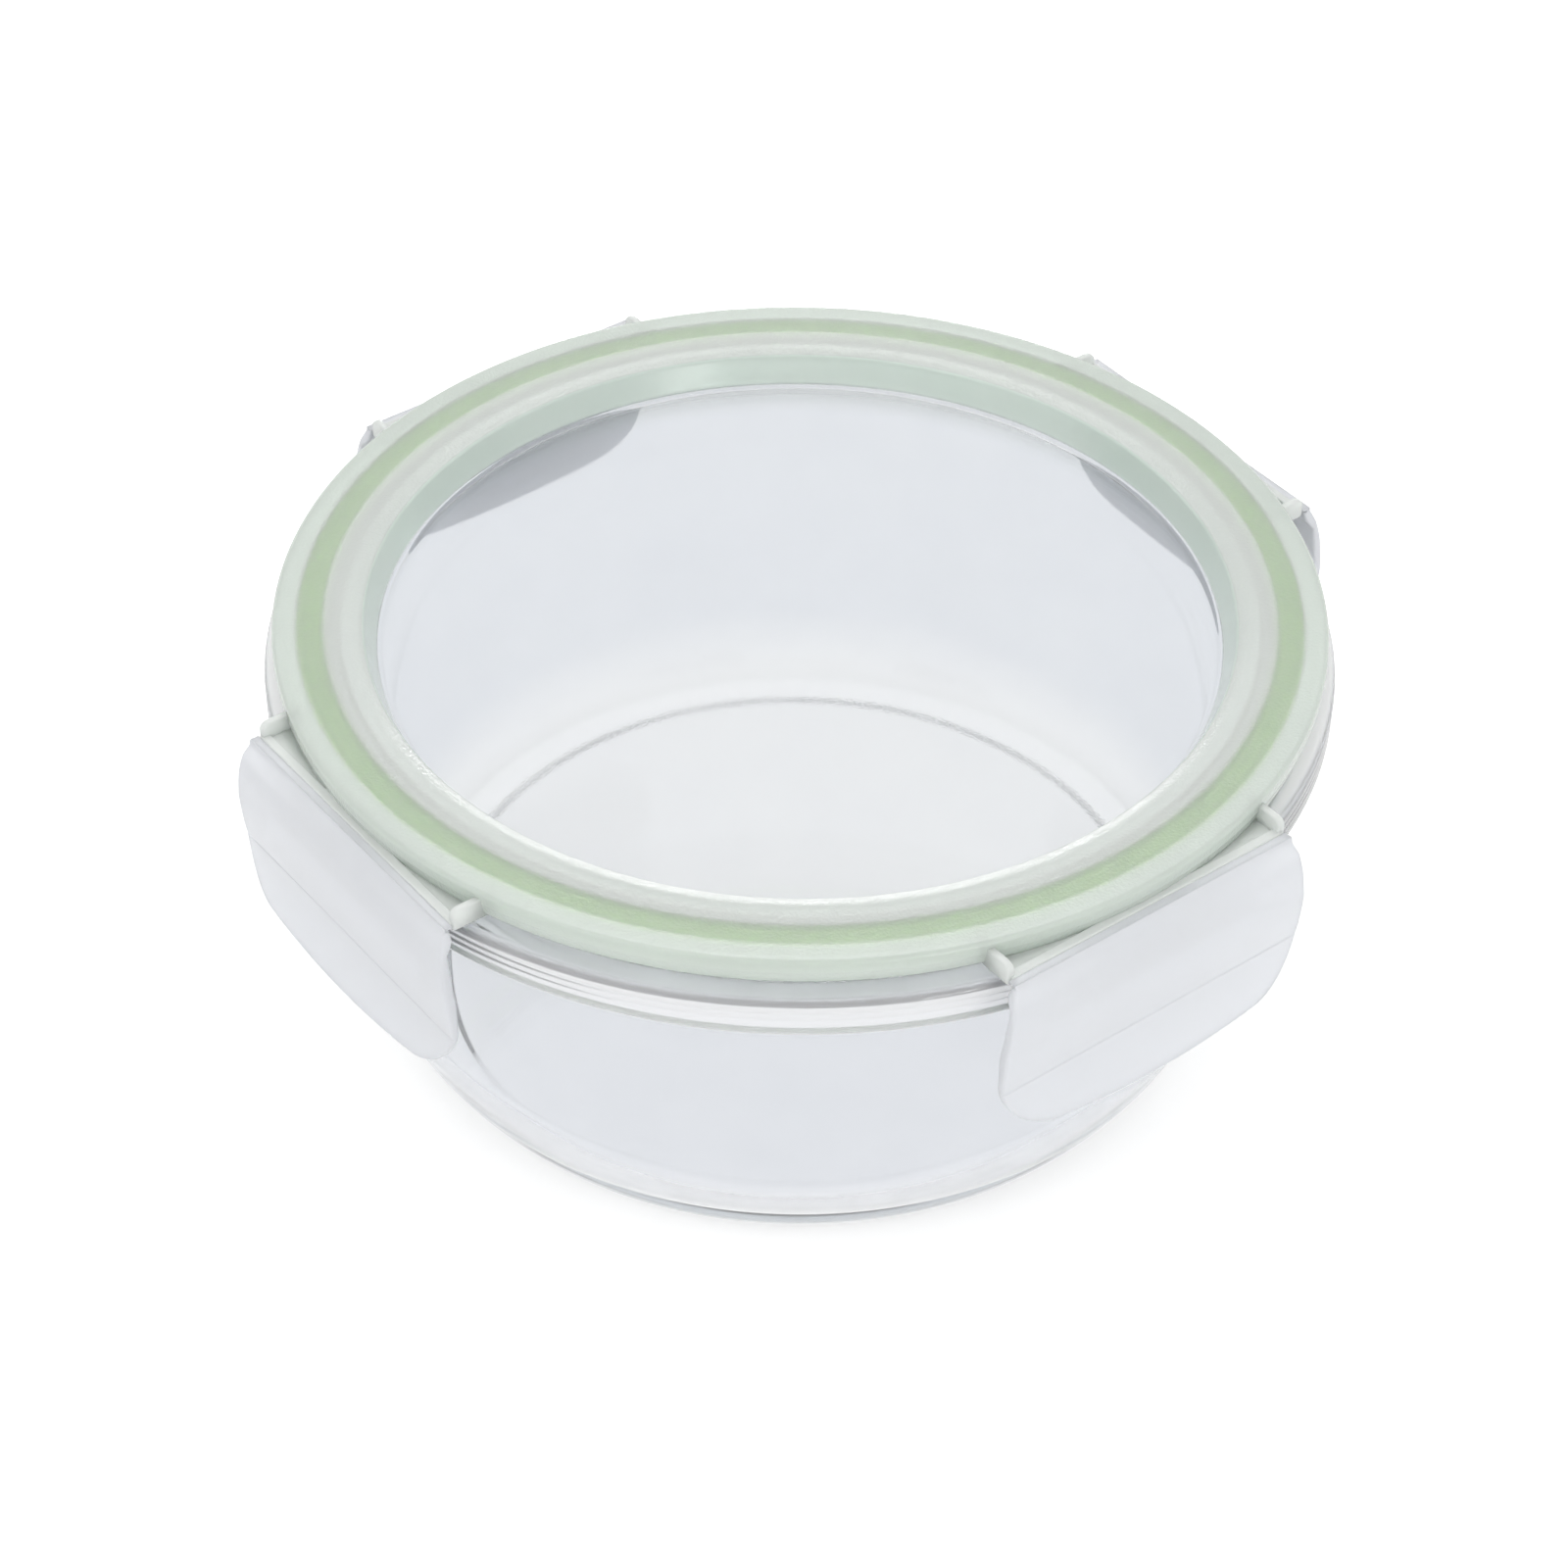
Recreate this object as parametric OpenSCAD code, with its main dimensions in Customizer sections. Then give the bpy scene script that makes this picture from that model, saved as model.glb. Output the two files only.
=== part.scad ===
// Round glass food container with a four-latch snap lid.
// Origin: centre of the foot, on the table. +Z up. Millimetres.
// The front latch faces -Y, the right one +X, the back one +Y, the left one -X.

/* [Glass bowl] */
// Outside diameter of the rim flange that the latches hook under
flange_d = 176; // [156:1:196]
// How far the flange stands out from the wall
flange_reach = 5.4; // [4.6:0.1:7]
// Height of the flange's underside above the table
flange_z = 62; // [52:1:90]
// Thickness of the flange, top to bottom
flange_h = 7.2; // [5:0.1:9]
// Radius of the flange's rounded edges
flange_edge_r = 1.3; // [0.6:0.1:2]
// Radius of the fillet between the wall and the flange
flange_fillet_r = 2.6; // [1:0.1:3.2]
// Height of the sealing rim above the flange
rim_rise = 3.2; // [2.6:0.1:5]
// Thickness of the sealing rim
rim_t = 3; // [2.4:0.1:3.6]
// Radius of the sealing rim's rounded edges
rim_edge_r = 0.9; // [0.5:0.1:1.1]
// Thickness of the glass wall
wall_t = 4.4; // [3.4:0.1:5.2]
// Slope of the wall, in degrees from upright
wall_draft = 8; // [4:0.5:10]
// Radius of the rounded heel between wall and foot
heel_r = 40; // [30:1:46]
// How far the foot stands in from the line of the wall
foot_in = 5.6; // [3:0.1:8]
// Width of the ring that the bowl stands on
foot_w = 6; // [4:0.5:10]
// Rise of the base inside the foot ring
foot_rise = 1.2; // [0.6:0.1:2]
// Thickness of the glass floor
floor_t = 4.5; // [3.4:0.1:6]

/* [Lid] */
// Gap between the sealing rim and the lid's skirt
skirt_gap = 1.7; // [1.2:0.1:2.6]
// Thickness of the skirt
skirt_t = 1.5; // [1.2:0.1:2]
// Height of the lid, top face to the skirt's lower edge
skirt_h = 4.4; // [4:0.1:5]
// Inward slope of the skirt, in degrees
skirt_draft = 12; // [4:1:16]
// Radius of the rounded shoulder
shoulder_r = 2; // [1.2:0.1:2.4]
// Height of the upright land between the shoulder and the skirt's slope
skirt_land = 0.2; // [0.1:0.1:0.6]
// Thickness of the lid's top ring
roof_t = 1.3; // [1:0.1:1.8]
// Height of the rib that holds the gasket from inside
inner_rib_h = 3.2; // [2.2:0.1:4]
// Height of the step that holds the gasket from outside
outer_rib_h = 1.2; // [0.8:0.1:1.6]
// Thickness of the rib inside the gasket
rib_t = 1.2; // [0.8:0.1:1.6]
// Depth of the recess in the lid
recess_h = 5.9; // [4:0.1:7]
// Slope of the recess wall, in degrees from upright
recess_draft = 20; // [10:1:26]
// Room round the foot of a second container stacked in the recess
stack_gap = 1; // [0.5:0.1:2]
// Thickness of the recess wall
recess_wall_t = 1.4; // [1:0.1:1.8]
// Thickness of the clear panel
panel_t = 1.5; // [1.2:0.1:2.2]
// Radius of the rounded edge at the top of the recess
recess_edge_r = 1.1; // [0.6:0.1:1.2]
// Radius of the fillet at the bottom of the recess
panel_fillet_r = 1.4; // [0.8:0.1:1.8]

/* [Gasket] */
// Width of the gasket ring
gasket_w = 5.8; // [5:0.1:6.6]
// Height of the gasket, with its sealing lips
gasket_t = 2; // [1.6:0.1:2.8]
// Height of the sealing lips and of the ridges on top
gasket_lip_h = 0.6; // [0.3:0.05:0.8]
// Number of ridges on the gasket's top face
gasket_ridges = 4; // [2:1:5]
// Clearance between the gasket and the lid
gasket_gap = 0.1; // [0.05:0.05:0.3]
// Clearance between the gasket and the sealing rim
seat_gap = 0.2; // [0.1:0.05:0.4]

/* [Hinges] */
// Distance of the hinge line from the widest part of the lid
hinge_out = 1.1; // [0.9:0.1:2.5]
// Height of the hinge line above the skirt's lower edge
hinge_rise = 0.4; // [0.2:0.1:1]
// Length of each hinge line
hinge_w = 55.6; // [40:1:64]
// Thickness of the film that bends
film_t = 0.5; // [0.3:0.05:0.6]
// Radius of the round groove on the hinge line
groove_r = 0.8; // [0.7:0.05:1]
// Clearance round the film in its groove
film_gap = 0.05; // [0.03:0.01:0.1]
// Thickness of the lid's shelf at a hinge
shelf_t = 1.6; // [1.4:0.1:2.2]
// Width of the land along the hinge line
land_w = 2; // [1.6:0.1:3]
// Depth of the pockets between the land and the skirt
pocket_d = 0.6; // [0.3:0.1:0.9]
// Thickness of the gussets at the shelf's ends
gusset_t = 1.4; // [1:0.1:2]
// Radius of the gussets' rounded top
gusset_r = 3.4; // [2.4:0.1:3.6]

/* [Latches] */
// How far the latch stands past the ends of its hinge line
latch_side = 1; // [0.5:0.1:3]
// Further flare of the latch at its lip
lip_flare = 1.5; // [0:0.1:2]
// Length of the latch from the hinge line down
latch_h = 30.8; // [28:0.5:40]
// Wall thickness of the latch beside the flange
latch_t = 1.8; // [1.4:0.1:2.2]
// Wall thickness of the finger lip
lip_t = 1.3; // [1:0.1:1.6]
// Clearance between the flange and the bulge of the latch
bulge_gap = 0.7; // [0.5:0.1:2]
// Clearance between the flange and the waist of the latch
waist_gap = 0.4; // [0.3:0.1:0.6]
// Drop from the hinge line to the widest part of the bulge
bulge_drop = 9; // [6:0.5:9.5]
// Drop from the hinge line to the waist
waist_drop = 20; // [18:0.5:24]
// Height of the fine moulded line below the waist
waist_line = 0.5; // [0.3:0.1:1]
// How far the finger lip flares out below the waist
lip_out = 2.6; // [0.5:0.1:5]
// Radius of the lip's corners
corner_r = 11.5; // [6:0.5:12]
// Radius of the bowed lower edge
bow_r = 180; // [80:5:300]
// How far the hook reaches under the flange
hook_reach = 1.6; // [0.8:0.1:2]
// Height of the hook
hook_h = 3.6; // [2.5:0.1:4]
// Length of the hook along the latch, short of its sides
hook_w = 44; // [20:1:50]
// Clearance between the hook and the flange
hook_gap = 0.45; // [0.3:0.05:0.8]

/* [Hidden] */
$fn = 96;

// Direction of each latch round the container, in degrees from +X
FRONT = -90;
RIGHT = 0;
BACK = 90;
LEFT = 180;

// Reach of shapes that cut past the faces they cut, and of fillets into the solid behind them
cut = 1;
back = 0.5;
// Arcs pass the faces that they round by this much, so that they meet them at a clean edge
cross_over = 0.01;

// Bowl: the wall's outer radius at a height, and the heel arc that runs into the wall
flange_r = flange_d / 2;
slope = tan(wall_draft);
wall_foot_r = flange_r - flange_reach - flange_z * slope;
function wall_r(z) = wall_foot_r + z * slope;
foot_r = wall_foot_r - foot_in;
heel_d = heel_r - cross_over;
heel_in = foot_in - heel_d * cos(wall_draft);
heel_up = heel_d * sin(wall_draft);
heel_b = heel_in * slope + heel_up;
heel_c = heel_in * heel_in + heel_up * heel_up - heel_r * heel_r;
heel_k = 1 + slope * slope;
heel_z = (-heel_b + sqrt(heel_b * heel_b - heel_k * heel_c)) / heel_k;
heel_centre = [wall_r(heel_z) - heel_d * cos(wall_draft), heel_z + heel_up];
wall_out = [cos(wall_draft), -sin(wall_draft)];
wall_in = wall_t / cos(wall_draft);
floor_z = foot_rise + floor_t;
flange_top = flange_z + flange_h;
rim_top = flange_top + rim_rise;
rim_in_r = wall_r(rim_top) - wall_in;
rim_out_r = rim_in_r + rim_t;

// Lid: heights from the sealing rim up, radii from the sealing rim out
gasket_z = rim_top + seat_gap;
gasket_top = gasket_z + gasket_t;
gasket_out_r = rim_out_r;
gasket_in_r = gasket_out_r - gasket_w;
// Width of each ridge as a share of the ridges' pitch
ridge_share = 0.6;
roof_z = gasket_top + gasket_gap;
lid_top = roof_z + roof_t;
skirt_z = lid_top - skirt_h;
skirt_in_r = rim_out_r + skirt_gap;
skirt_low_r = skirt_in_r + skirt_t;
skirt_slope_z = lid_top - shoulder_r - skirt_land;
lid_r = skirt_low_r + (skirt_slope_z - skirt_z) * tan(skirt_draft);
panel_z = lid_top - recess_h;
recess_low_r = foot_r + stack_gap;
recess_r = recess_low_r + recess_h * tan(recess_draft);
recess_wall_in = recess_wall_t / cos(recess_draft);

// Hinges and latches: n is the distance from the axis of the container to the hinge line
hinge_n = lid_r + hinge_out;
hinge_z = skirt_z + hinge_rise;
// Plastic left under the groove, and where the shelf's outer face stands
groove_floor = 0.3;
shelf_z = hinge_z - groove_r - groove_floor;
shelf_end = hinge_n - groove_r / 2;
// Ends of the gussets, short of the hinge line and of the lid's top
gusset_end = hinge_n - hinge_out / 2;
gusset_top = lid_top - shoulder_r * 2 / 3;
film_r = groove_r - film_gap;
bulge_out = flange_r + bulge_gap + latch_t - hinge_n;
waist_out = flange_r + waist_gap + lip_t - hinge_n;
hook_in = flange_r - hook_reach - hinge_n;
hook_top = flange_z - hook_gap - hinge_z;
hook_low = hook_top - hook_h;
bulge_in = bulge_out - latch_t;
waist_in = waist_out - lip_t;
// Arc over the top of the bulge, from the hinge line out; it passes the arc below it by bulge_cross
top_start_t = 0.25;
top_start_rise = 0.1;
top_start = [groove_r + top_start_t, top_start_rise];
bulge_cross = 0.1;
top_rise = top_start[1] + bulge_drop;
top_run = bulge_out + bulge_cross - top_start[0];
bulge_top_r = (top_run * top_run + top_rise * top_rise) / (2 * top_run);
// Arc from the bulge down to the waist
low_run = bulge_out - waist_out;
low_drop = waist_drop - bulge_drop;
bulge_low_r = (low_run * low_run + low_drop * low_drop) / (2 * low_run);
// Arc of the finger lip, upright at the waist
lip_drop = latch_h - waist_drop;
lip_r = (lip_out * lip_out + lip_drop * lip_drop) / (2 * lip_out);
lip_steps = 6;
// Where the inside of the latch leaves the hinge line, and where it is clear of the flange's edge
neck_gap = 0.6;
neck_drop = hinge_z - flange_top - neck_gap;
edge_drop = hinge_z - flange_top + flange_edge_r;
// Front outline of the latch
latch_half = hinge_w / 2 + latch_side;
lip_half = latch_half + lip_flare;
// The corner arcs cross the side and the bowed edge at a slight angle, set by corner_cross
corner_cross = 0.05;
corner_s = lip_half - corner_r + corner_cross;
bow_z = bow_r - latch_h;
corner_reach = bow_r - corner_r + corner_cross;
corner_z = bow_z - sqrt(corner_reach * corner_reach - corner_s * corner_s);
// Drop to the ears where the latch comes out past the hinge, and height at which its sides end their flare
ear_drop = 3;
flare_z = corner_z / 2 - ear_drop;
// Widest reach of the cutting and clipping shapes
far = 400;

// Rounded corners of sections

module corner_arc(corner, one, two, r) {
  // Region between a corner and the arc that rounds it, for unit directions along its two faces
  // It is cut off outside corners, and left in inside ones
  inset = (r - cross_over) / sin(acos(one * two));
  centre = corner + (one + two) * inset;
  run = inset * (1 + one * two);
  foot_one = corner + run * one;
  foot_two = corner + run * two;
  away_one = (foot_one - centre) / (r - cross_over);
  away_two = (foot_two - centre) / (r - cross_over);
  difference() {
    polygon([foot_one, foot_one + back * away_one, corner + back * (away_one + away_two),
             foot_two + back * away_two, foot_two]);
    translate(centre) circle(r = r);
  }
}

// Directions in a half section
OUT = [1, 0];
IN = [-1, 0];
UP = [0, 1];
DOWN = [0, -1];

// Glass bowl, half section

module heel_arc(r, wall_x, low_z) {
  // Region between the heel's arc and the corner where a wall line meets the height low_z
  touch = heel_centre + r * wall_out;
  ends_r = heel_centre[0] + sqrt(r * r - (heel_centre[1] - low_z) * (heel_centre[1] - low_z));
  difference() {
    polygon([touch - cross_over * wall_out, touch + back * wall_out, [wall_x + cut, low_z - back],
             [ends_r - foot_w / 2, low_z - back]]);
    translate(heel_centre) circle(r = r, $fn = 180);
  }
}

module bowl_section() {
  up_wall = [sin(wall_draft), cos(wall_draft)];
  hollow_r = foot_r - foot_w;
  inner_foot_r = wall_r(floor_z) - wall_in;
  far_r = flange_r + cut;
  difference() {
    square([flange_r, rim_top]);
    // Outside of the wall, under the flange
    difference() {
      polygon([[wall_r(-cut), -cut], [far_r, -cut], [far_r, flange_z], [wall_r(flange_z), flange_z]]);
      corner_arc([wall_r(flange_z), flange_z], OUT, -up_wall, flange_fillet_r);
    }
    heel_arc(heel_r, wall_foot_r, 0);
    // Outside of the sealing rim, over the flange
    difference() {
      translate([rim_out_r, flange_top]) square([far_r - rim_out_r, rim_rise + cut]);
      corner_arc([rim_out_r, flange_top], OUT, UP, rim_edge_r);
    }
    // Inside of the bowl
    difference() {
      polygon([[0, floor_z], [inner_foot_r, floor_z], [wall_r(rim_top + cut) - wall_in, rim_top + cut],
               [0, rim_top + cut]]);
      heel_arc(heel_r - wall_t, inner_foot_r, floor_z);
    }
    // Hollow under the base
    polygon([[0, -cut], [hollow_r + cut, -cut], [hollow_r - foot_rise, foot_rise], [0, foot_rise]]);
    // Rounded edges
    corner_arc([flange_r, flange_z], IN, UP, flange_edge_r);
    corner_arc([flange_r, flange_top], IN, DOWN, flange_edge_r);
    corner_arc([rim_out_r, rim_top], IN, DOWN, rim_edge_r);
    corner_arc([rim_in_r, rim_top], OUT, -up_wall, rim_edge_r);
  }
}

module glass_bowl() {
  color("lightcyan", 0.45)
    rotate_extrude($fn = 180) bowl_section();
}

// Gasket

module gasket() {
  pitch = gasket_w / gasket_ridges;
  body_z = gasket_z + gasket_lip_h;
  body_h = gasket_t - 2 * gasket_lip_h;
  ridge_w = pitch * ridge_share;
  seal_w = rim_t / 3;
  color("yellowgreen")
    rotate_extrude($fn = 180) {
      translate([gasket_in_r, body_z]) square([gasket_w, body_h]);
      // Ridges that bear on the lid
      for (i = [0 : gasket_ridges - 1])
        translate([gasket_in_r + (i + 1 / 2) * pitch - ridge_w / 2, body_z])
          square([ridge_w, body_h + gasket_lip_h]);
      // Two lips that seal on the glass rim, over its quarters
      for (x = [rim_in_r + rim_t / 4, rim_out_r - rim_t / 4])
        translate([x - seal_w / 2, gasket_z]) square([seal_w, gasket_lip_h + body_h / 2]);
    }
}

// Lid

module lid_section() {
  bottom = panel_z - panel_t;
  up_recess = [sin(recess_draft), cos(recess_draft)];
  rib_r = gasket_in_r - gasket_gap;
  step_r = gasket_out_r + gasket_gap;
  difference() {
    polygon([
      [0, bottom],
      [recess_low_r + recess_wall_in - panel_t * tan(recess_draft), bottom],
      [recess_r + recess_wall_in - roof_t * tan(recess_draft), roof_z],
      // Rib inside the gasket
      [rib_r - rib_t, roof_z],
      [rib_r - rib_t, roof_z - inner_rib_h],
      [rib_r, roof_z - inner_rib_h],
      [rib_r, roof_z],
      // Step outside the gasket, then the skirt
      [step_r, roof_z],
      [step_r, roof_z - outer_rib_h],
      [skirt_in_r, roof_z - outer_rib_h],
      [skirt_in_r, skirt_z],
      [skirt_low_r, skirt_z],
      [lid_r, skirt_slope_z],
      [lid_r, lid_top],
      [0, lid_top]
    ]);
    // Recess over the clear panel
    difference() {
      polygon([[0, panel_z], [recess_low_r, panel_z],
               [recess_r + cut * tan(recess_draft), lid_top + cut], [0, lid_top + cut]]);
      corner_arc([recess_low_r, panel_z], IN, up_recess, panel_fillet_r);
    }
    // Rounded edges
    corner_arc([lid_r, lid_top], IN, DOWN, shoulder_r);
    corner_arc([recess_r, lid_top], OUT, -up_recess, recess_edge_r);
  }
}

module gusset_section() {
  // Rounded end wall of a hinge shelf, from the hinge line up to the shoulder
  difference() {
    translate([0, shelf_z]) square([gusset_end, gusset_top - shelf_z]);
    corner_arc([gusset_end, gusset_top], IN, DOWN, gusset_r);
  }
}

module along_hinge(length) {
  // Extrudes a section drawn in (n, z) along the hinge line
  rotate([90, 0, 0]) linear_extrude(length, center = true) children();
}

module hinge_shelf() {
  half = hinge_w / 2;
  difference() {
    union() {
      along_hinge(hinge_w) translate([0, shelf_z]) square([hinge_n, shelf_t - pocket_d]);
      along_hinge(hinge_w) translate([hinge_n - land_w, shelf_z]) square([land_w, shelf_t]);
      for (side = [-1, 1])
        translate([0, side * (half - gusset_t / 2), 0]) along_hinge(gusset_t) gusset_section();
    }
    // Room for the gasket channel inside the skirt
    translate([0, 0, skirt_z - far / 2]) cylinder(r = skirt_low_r - skirt_t / 2, h = far);
    // Round groove on the hinge line, open to the outside
    translate([hinge_n, 0, hinge_z]) rotate([90, 0, 0]) cylinder(r = groove_r, h = far, center = true);
    translate([shelf_end, -far / 2, shelf_z - cut]) cube([far, far, far]);
  }
}

module lid() {
  color("honeydew", 0.6) {
    rotate_extrude($fn = 180) lid_section();
    for (turn = [FRONT, RIGHT, BACK, LEFT])
      rotate([0, 0, turn]) hinge_shelf();
  }
}

// Hinge films

module hinge_film(turn) {
  color("mintcream", 0.6)
    rotate([0, 0, turn])
      translate([hinge_n, 0, hinge_z])
        intersection() {
          rotate([90, 0, 0]) cylinder(r = film_r, h = hinge_w - 2 * film_gap, center = true);
          cube([2 * groove_r, hinge_w, film_t], center = true);
        }
}

// Latches

module latch_section() {
  // Section in (u, w): u outwards and w upwards from the hinge line
  wide = bulge_out + lip_out + 2 * cut;
  lip_c = [waist_out + lip_r, -waist_drop];
  lip_turn = asin((lip_drop + cut) / (lip_r + lip_t));
  difference() {
    polygon(concat(
      [
        [0, top_start[1]],
        [0, -neck_drop],
        [bulge_in, -edge_drop],
        [bulge_in, hook_top],
        [waist_in, hook_low]
      ],
      // Inside of the finger lip
      [for (i = [0 : lip_steps])
        lip_c - (lip_r + lip_t) * [cos(lip_turn * i / lip_steps), sin(lip_turn * i / lip_steps)]],
      [[wide, -latch_h - cut], [wide, top_start[1]]]
    ));
    // Outside over the top of the bulge
    difference() {
      translate([0, cut - bulge_drop]) square([wide + cut, bulge_drop + cut]);
      translate([bulge_out + bulge_cross - bulge_top_r, -bulge_drop]) circle(r = bulge_top_r, $fn = 180);
    }
    // Outside from the bulge to just below the waist, where it leaves a fine line across the latch
    difference() {
      translate([0, -waist_drop - waist_line]) square([wide + cut, waist_drop + waist_line + cut]);
      translate([bulge_out - bulge_low_r, -bulge_drop]) circle(r = bulge_low_r, $fn = 360);
    }
    // Outside of the finger lip
    intersection() {
      translate(lip_c) circle(r = lip_r, $fn = 180);
      translate([0, -latch_h - 2 * cut]) square([wide + cut, lip_drop + 2 * cut]);
    }
    circle(r = groove_r);
  }
}

module hook_section() {
  // Hook, with a sloping lower edge so that it rides over the flange when it is pressed shut
  // It runs into the wall of the latch by the depth back
  fall = hook_h / 2 / (waist_in - hook_in) * back;
  polygon([[bulge_in + back, hook_top], [hook_in, hook_top], [hook_in, hook_top - hook_h / 2],
           [waist_in + back, hook_low - fall]]);
}

module across_hinge() {
  // Extrudes an outline drawn in (s, w) outwards through the latch
  translate([hook_in - cut, 0, 0]) rotate([90, 0, 90]) linear_extrude(far / 4) children();
}

module latch_outline() {
  // Front view in (s, w) with sharp lower corners: s along the hinge line
  half = hinge_w / 2;
  polygon([[-half, cut], [half, cut], [half, -groove_r], [latch_half, -ear_drop],
           [lip_half, flare_z], [lip_half, -latch_h - cut],
           [-lip_half, -latch_h - cut], [-lip_half, flare_z],
           [-latch_half, -ear_drop], [-half, -groove_r]]);
}

module latch_corners() {
  // What the round corners and the bowed lower edge leave out
  low = -latch_h - 2 * cut;
  wide = lip_half + cut;
  difference() {
    across_hinge() translate([-wide, low]) square([2 * wide, corner_z - low]);
    translate([-far / 2, 0, bow_z]) rotate([0, 90, 0]) cylinder(r = bow_r, h = far, $fn = 360);
  }
  inset = corner_r / 20;
  across = wide - corner_s - inset;
  for (side = [-1, 1])
    difference() {
      across_hinge()
        translate([side * (corner_s + inset + across / 2), (corner_z - inset + low - cut) / 2])
          square([across, corner_z - inset - low + cut], center = true);
      translate([-far / 2, side * corner_s, corner_z]) rotate([0, 90, 0]) cylinder(r = corner_r, h = far);
    }
}

module latch(turn) {
  color("aliceblue", 0.6)
    rotate([0, 0, turn])
      translate([hinge_n, 0, hinge_z]) {
        difference() {
          intersection() {
            along_hinge(2 * lip_half + cut) latch_section();
            across_hinge() latch_outline();
          }
          latch_corners();
        }
        along_hinge(hook_w) hook_section();
      }
}

glass_bowl();
gasket();
lid();
latch(FRONT);  // latch_front
latch(RIGHT);  // latch_right
latch(BACK);  // latch_back
latch(LEFT);  // latch_left
hinge_film(FRONT);  // hinge_film_front
hinge_film(RIGHT);  // hinge_film_right
hinge_film(BACK);  // hinge_film_back
hinge_film(LEFT);  // hinge_film_left
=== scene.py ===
"""Looks of the round glass food container with a four-latch snap lid.

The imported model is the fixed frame, in metres. The pieces' sizes are in millimetres, and those that the
part has repeat its values. Finishes, lamps and the camera are in metres.
"""

from __future__ import annotations

import logging
import math
from dataclasses import dataclass, field
from enum import Enum
from typing import Callable, Sequence

import bmesh
import bpy
from mathutils import Matrix, Vector

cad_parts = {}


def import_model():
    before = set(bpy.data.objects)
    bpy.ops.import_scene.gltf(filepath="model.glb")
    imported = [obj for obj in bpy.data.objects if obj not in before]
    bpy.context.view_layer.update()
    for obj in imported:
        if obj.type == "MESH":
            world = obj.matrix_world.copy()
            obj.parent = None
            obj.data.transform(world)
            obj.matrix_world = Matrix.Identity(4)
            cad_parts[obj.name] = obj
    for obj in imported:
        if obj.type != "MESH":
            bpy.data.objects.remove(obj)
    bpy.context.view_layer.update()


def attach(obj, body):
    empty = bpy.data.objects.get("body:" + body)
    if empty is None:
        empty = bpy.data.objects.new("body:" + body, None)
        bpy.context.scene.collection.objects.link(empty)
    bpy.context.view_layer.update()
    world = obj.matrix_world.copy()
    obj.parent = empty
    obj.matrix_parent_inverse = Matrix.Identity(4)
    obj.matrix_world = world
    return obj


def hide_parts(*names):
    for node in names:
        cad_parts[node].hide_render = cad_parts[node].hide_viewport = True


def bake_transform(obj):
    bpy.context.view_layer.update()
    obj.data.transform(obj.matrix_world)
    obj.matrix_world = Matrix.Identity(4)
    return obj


LOG = logging.getLogger("container")
MM = 0.001
IMAGE_SIDE = 1600.0
# Tolerance of lengths, mm, and of shares
TINY = 1e-6
# Distance within which points become one, metres
WELD = 1e-7
# Smallest turn of a corner that takes an arc, radians
LEAST_SWEEP = 1e-4
# Most of a side that one corner's arc takes
ARC_SHARE = 0.36
# Distance of the holding point from its corner, in reaches of the arc
HOLD_SHARE = 1.3

Point = tuple[float, float]
Corner = tuple[float, float, float]
Spot = tuple[float, float, float]
Colour = tuple[float, float, float, float]
Span = tuple[float, float]

WHITE: Colour = (1.0, 1.0, 1.0, 1.0)
UNIT: Span = (0.0, 1.0)
# Middle range of a noise
NOISE_SPAN: Span = (0.3, 0.7)


class Side(Enum):
    """The four latches round the container, with their turn about the upright axis in degrees."""

    FRONT = -90.0
    RIGHT = 0.0
    BACK = 90.0
    LEFT = 180.0

    @property
    def word(self) -> str:
        """Lower-case name, as in the part's nodes and bodies."""
        return self.name.lower()

    def spot(self, n: float, s: float, z: float) -> Spot:
        """Turns a place beside this latch into the frame.

        Args:
            n: distance out from the container's axis, mm.
            s: distance along the hinge line, mm.
            z: height, mm.

        Returns:
            The point in the frame, metres.
        """
        turn = math.radians(self.value)
        return (
            (n * math.cos(turn) - s * math.sin(turn)) * MM,
            (n * math.sin(turn) + s * math.cos(turn)) * MM,
            z * MM,
        )


# Lines and meshes


def arc(centre: Point, radius: float, start: float, end: float, steps: int) -> list[Corner]:
    """Points on a circle.

    Args:
        centre: centre of the circle.
        radius: its radius.
        start: first angle, degrees.
        end: last angle, degrees.
        steps: number of steps between them.

    Returns:
        Corners with no rounding, from start to end.
    """
    out: list[Corner] = []
    for i in range(steps + 1):
        a = math.radians(start + (end - start) * i / steps)
        out.append((centre[0] + radius * math.cos(a), centre[1] + radius * math.sin(a), 0.0))
    return out


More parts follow.
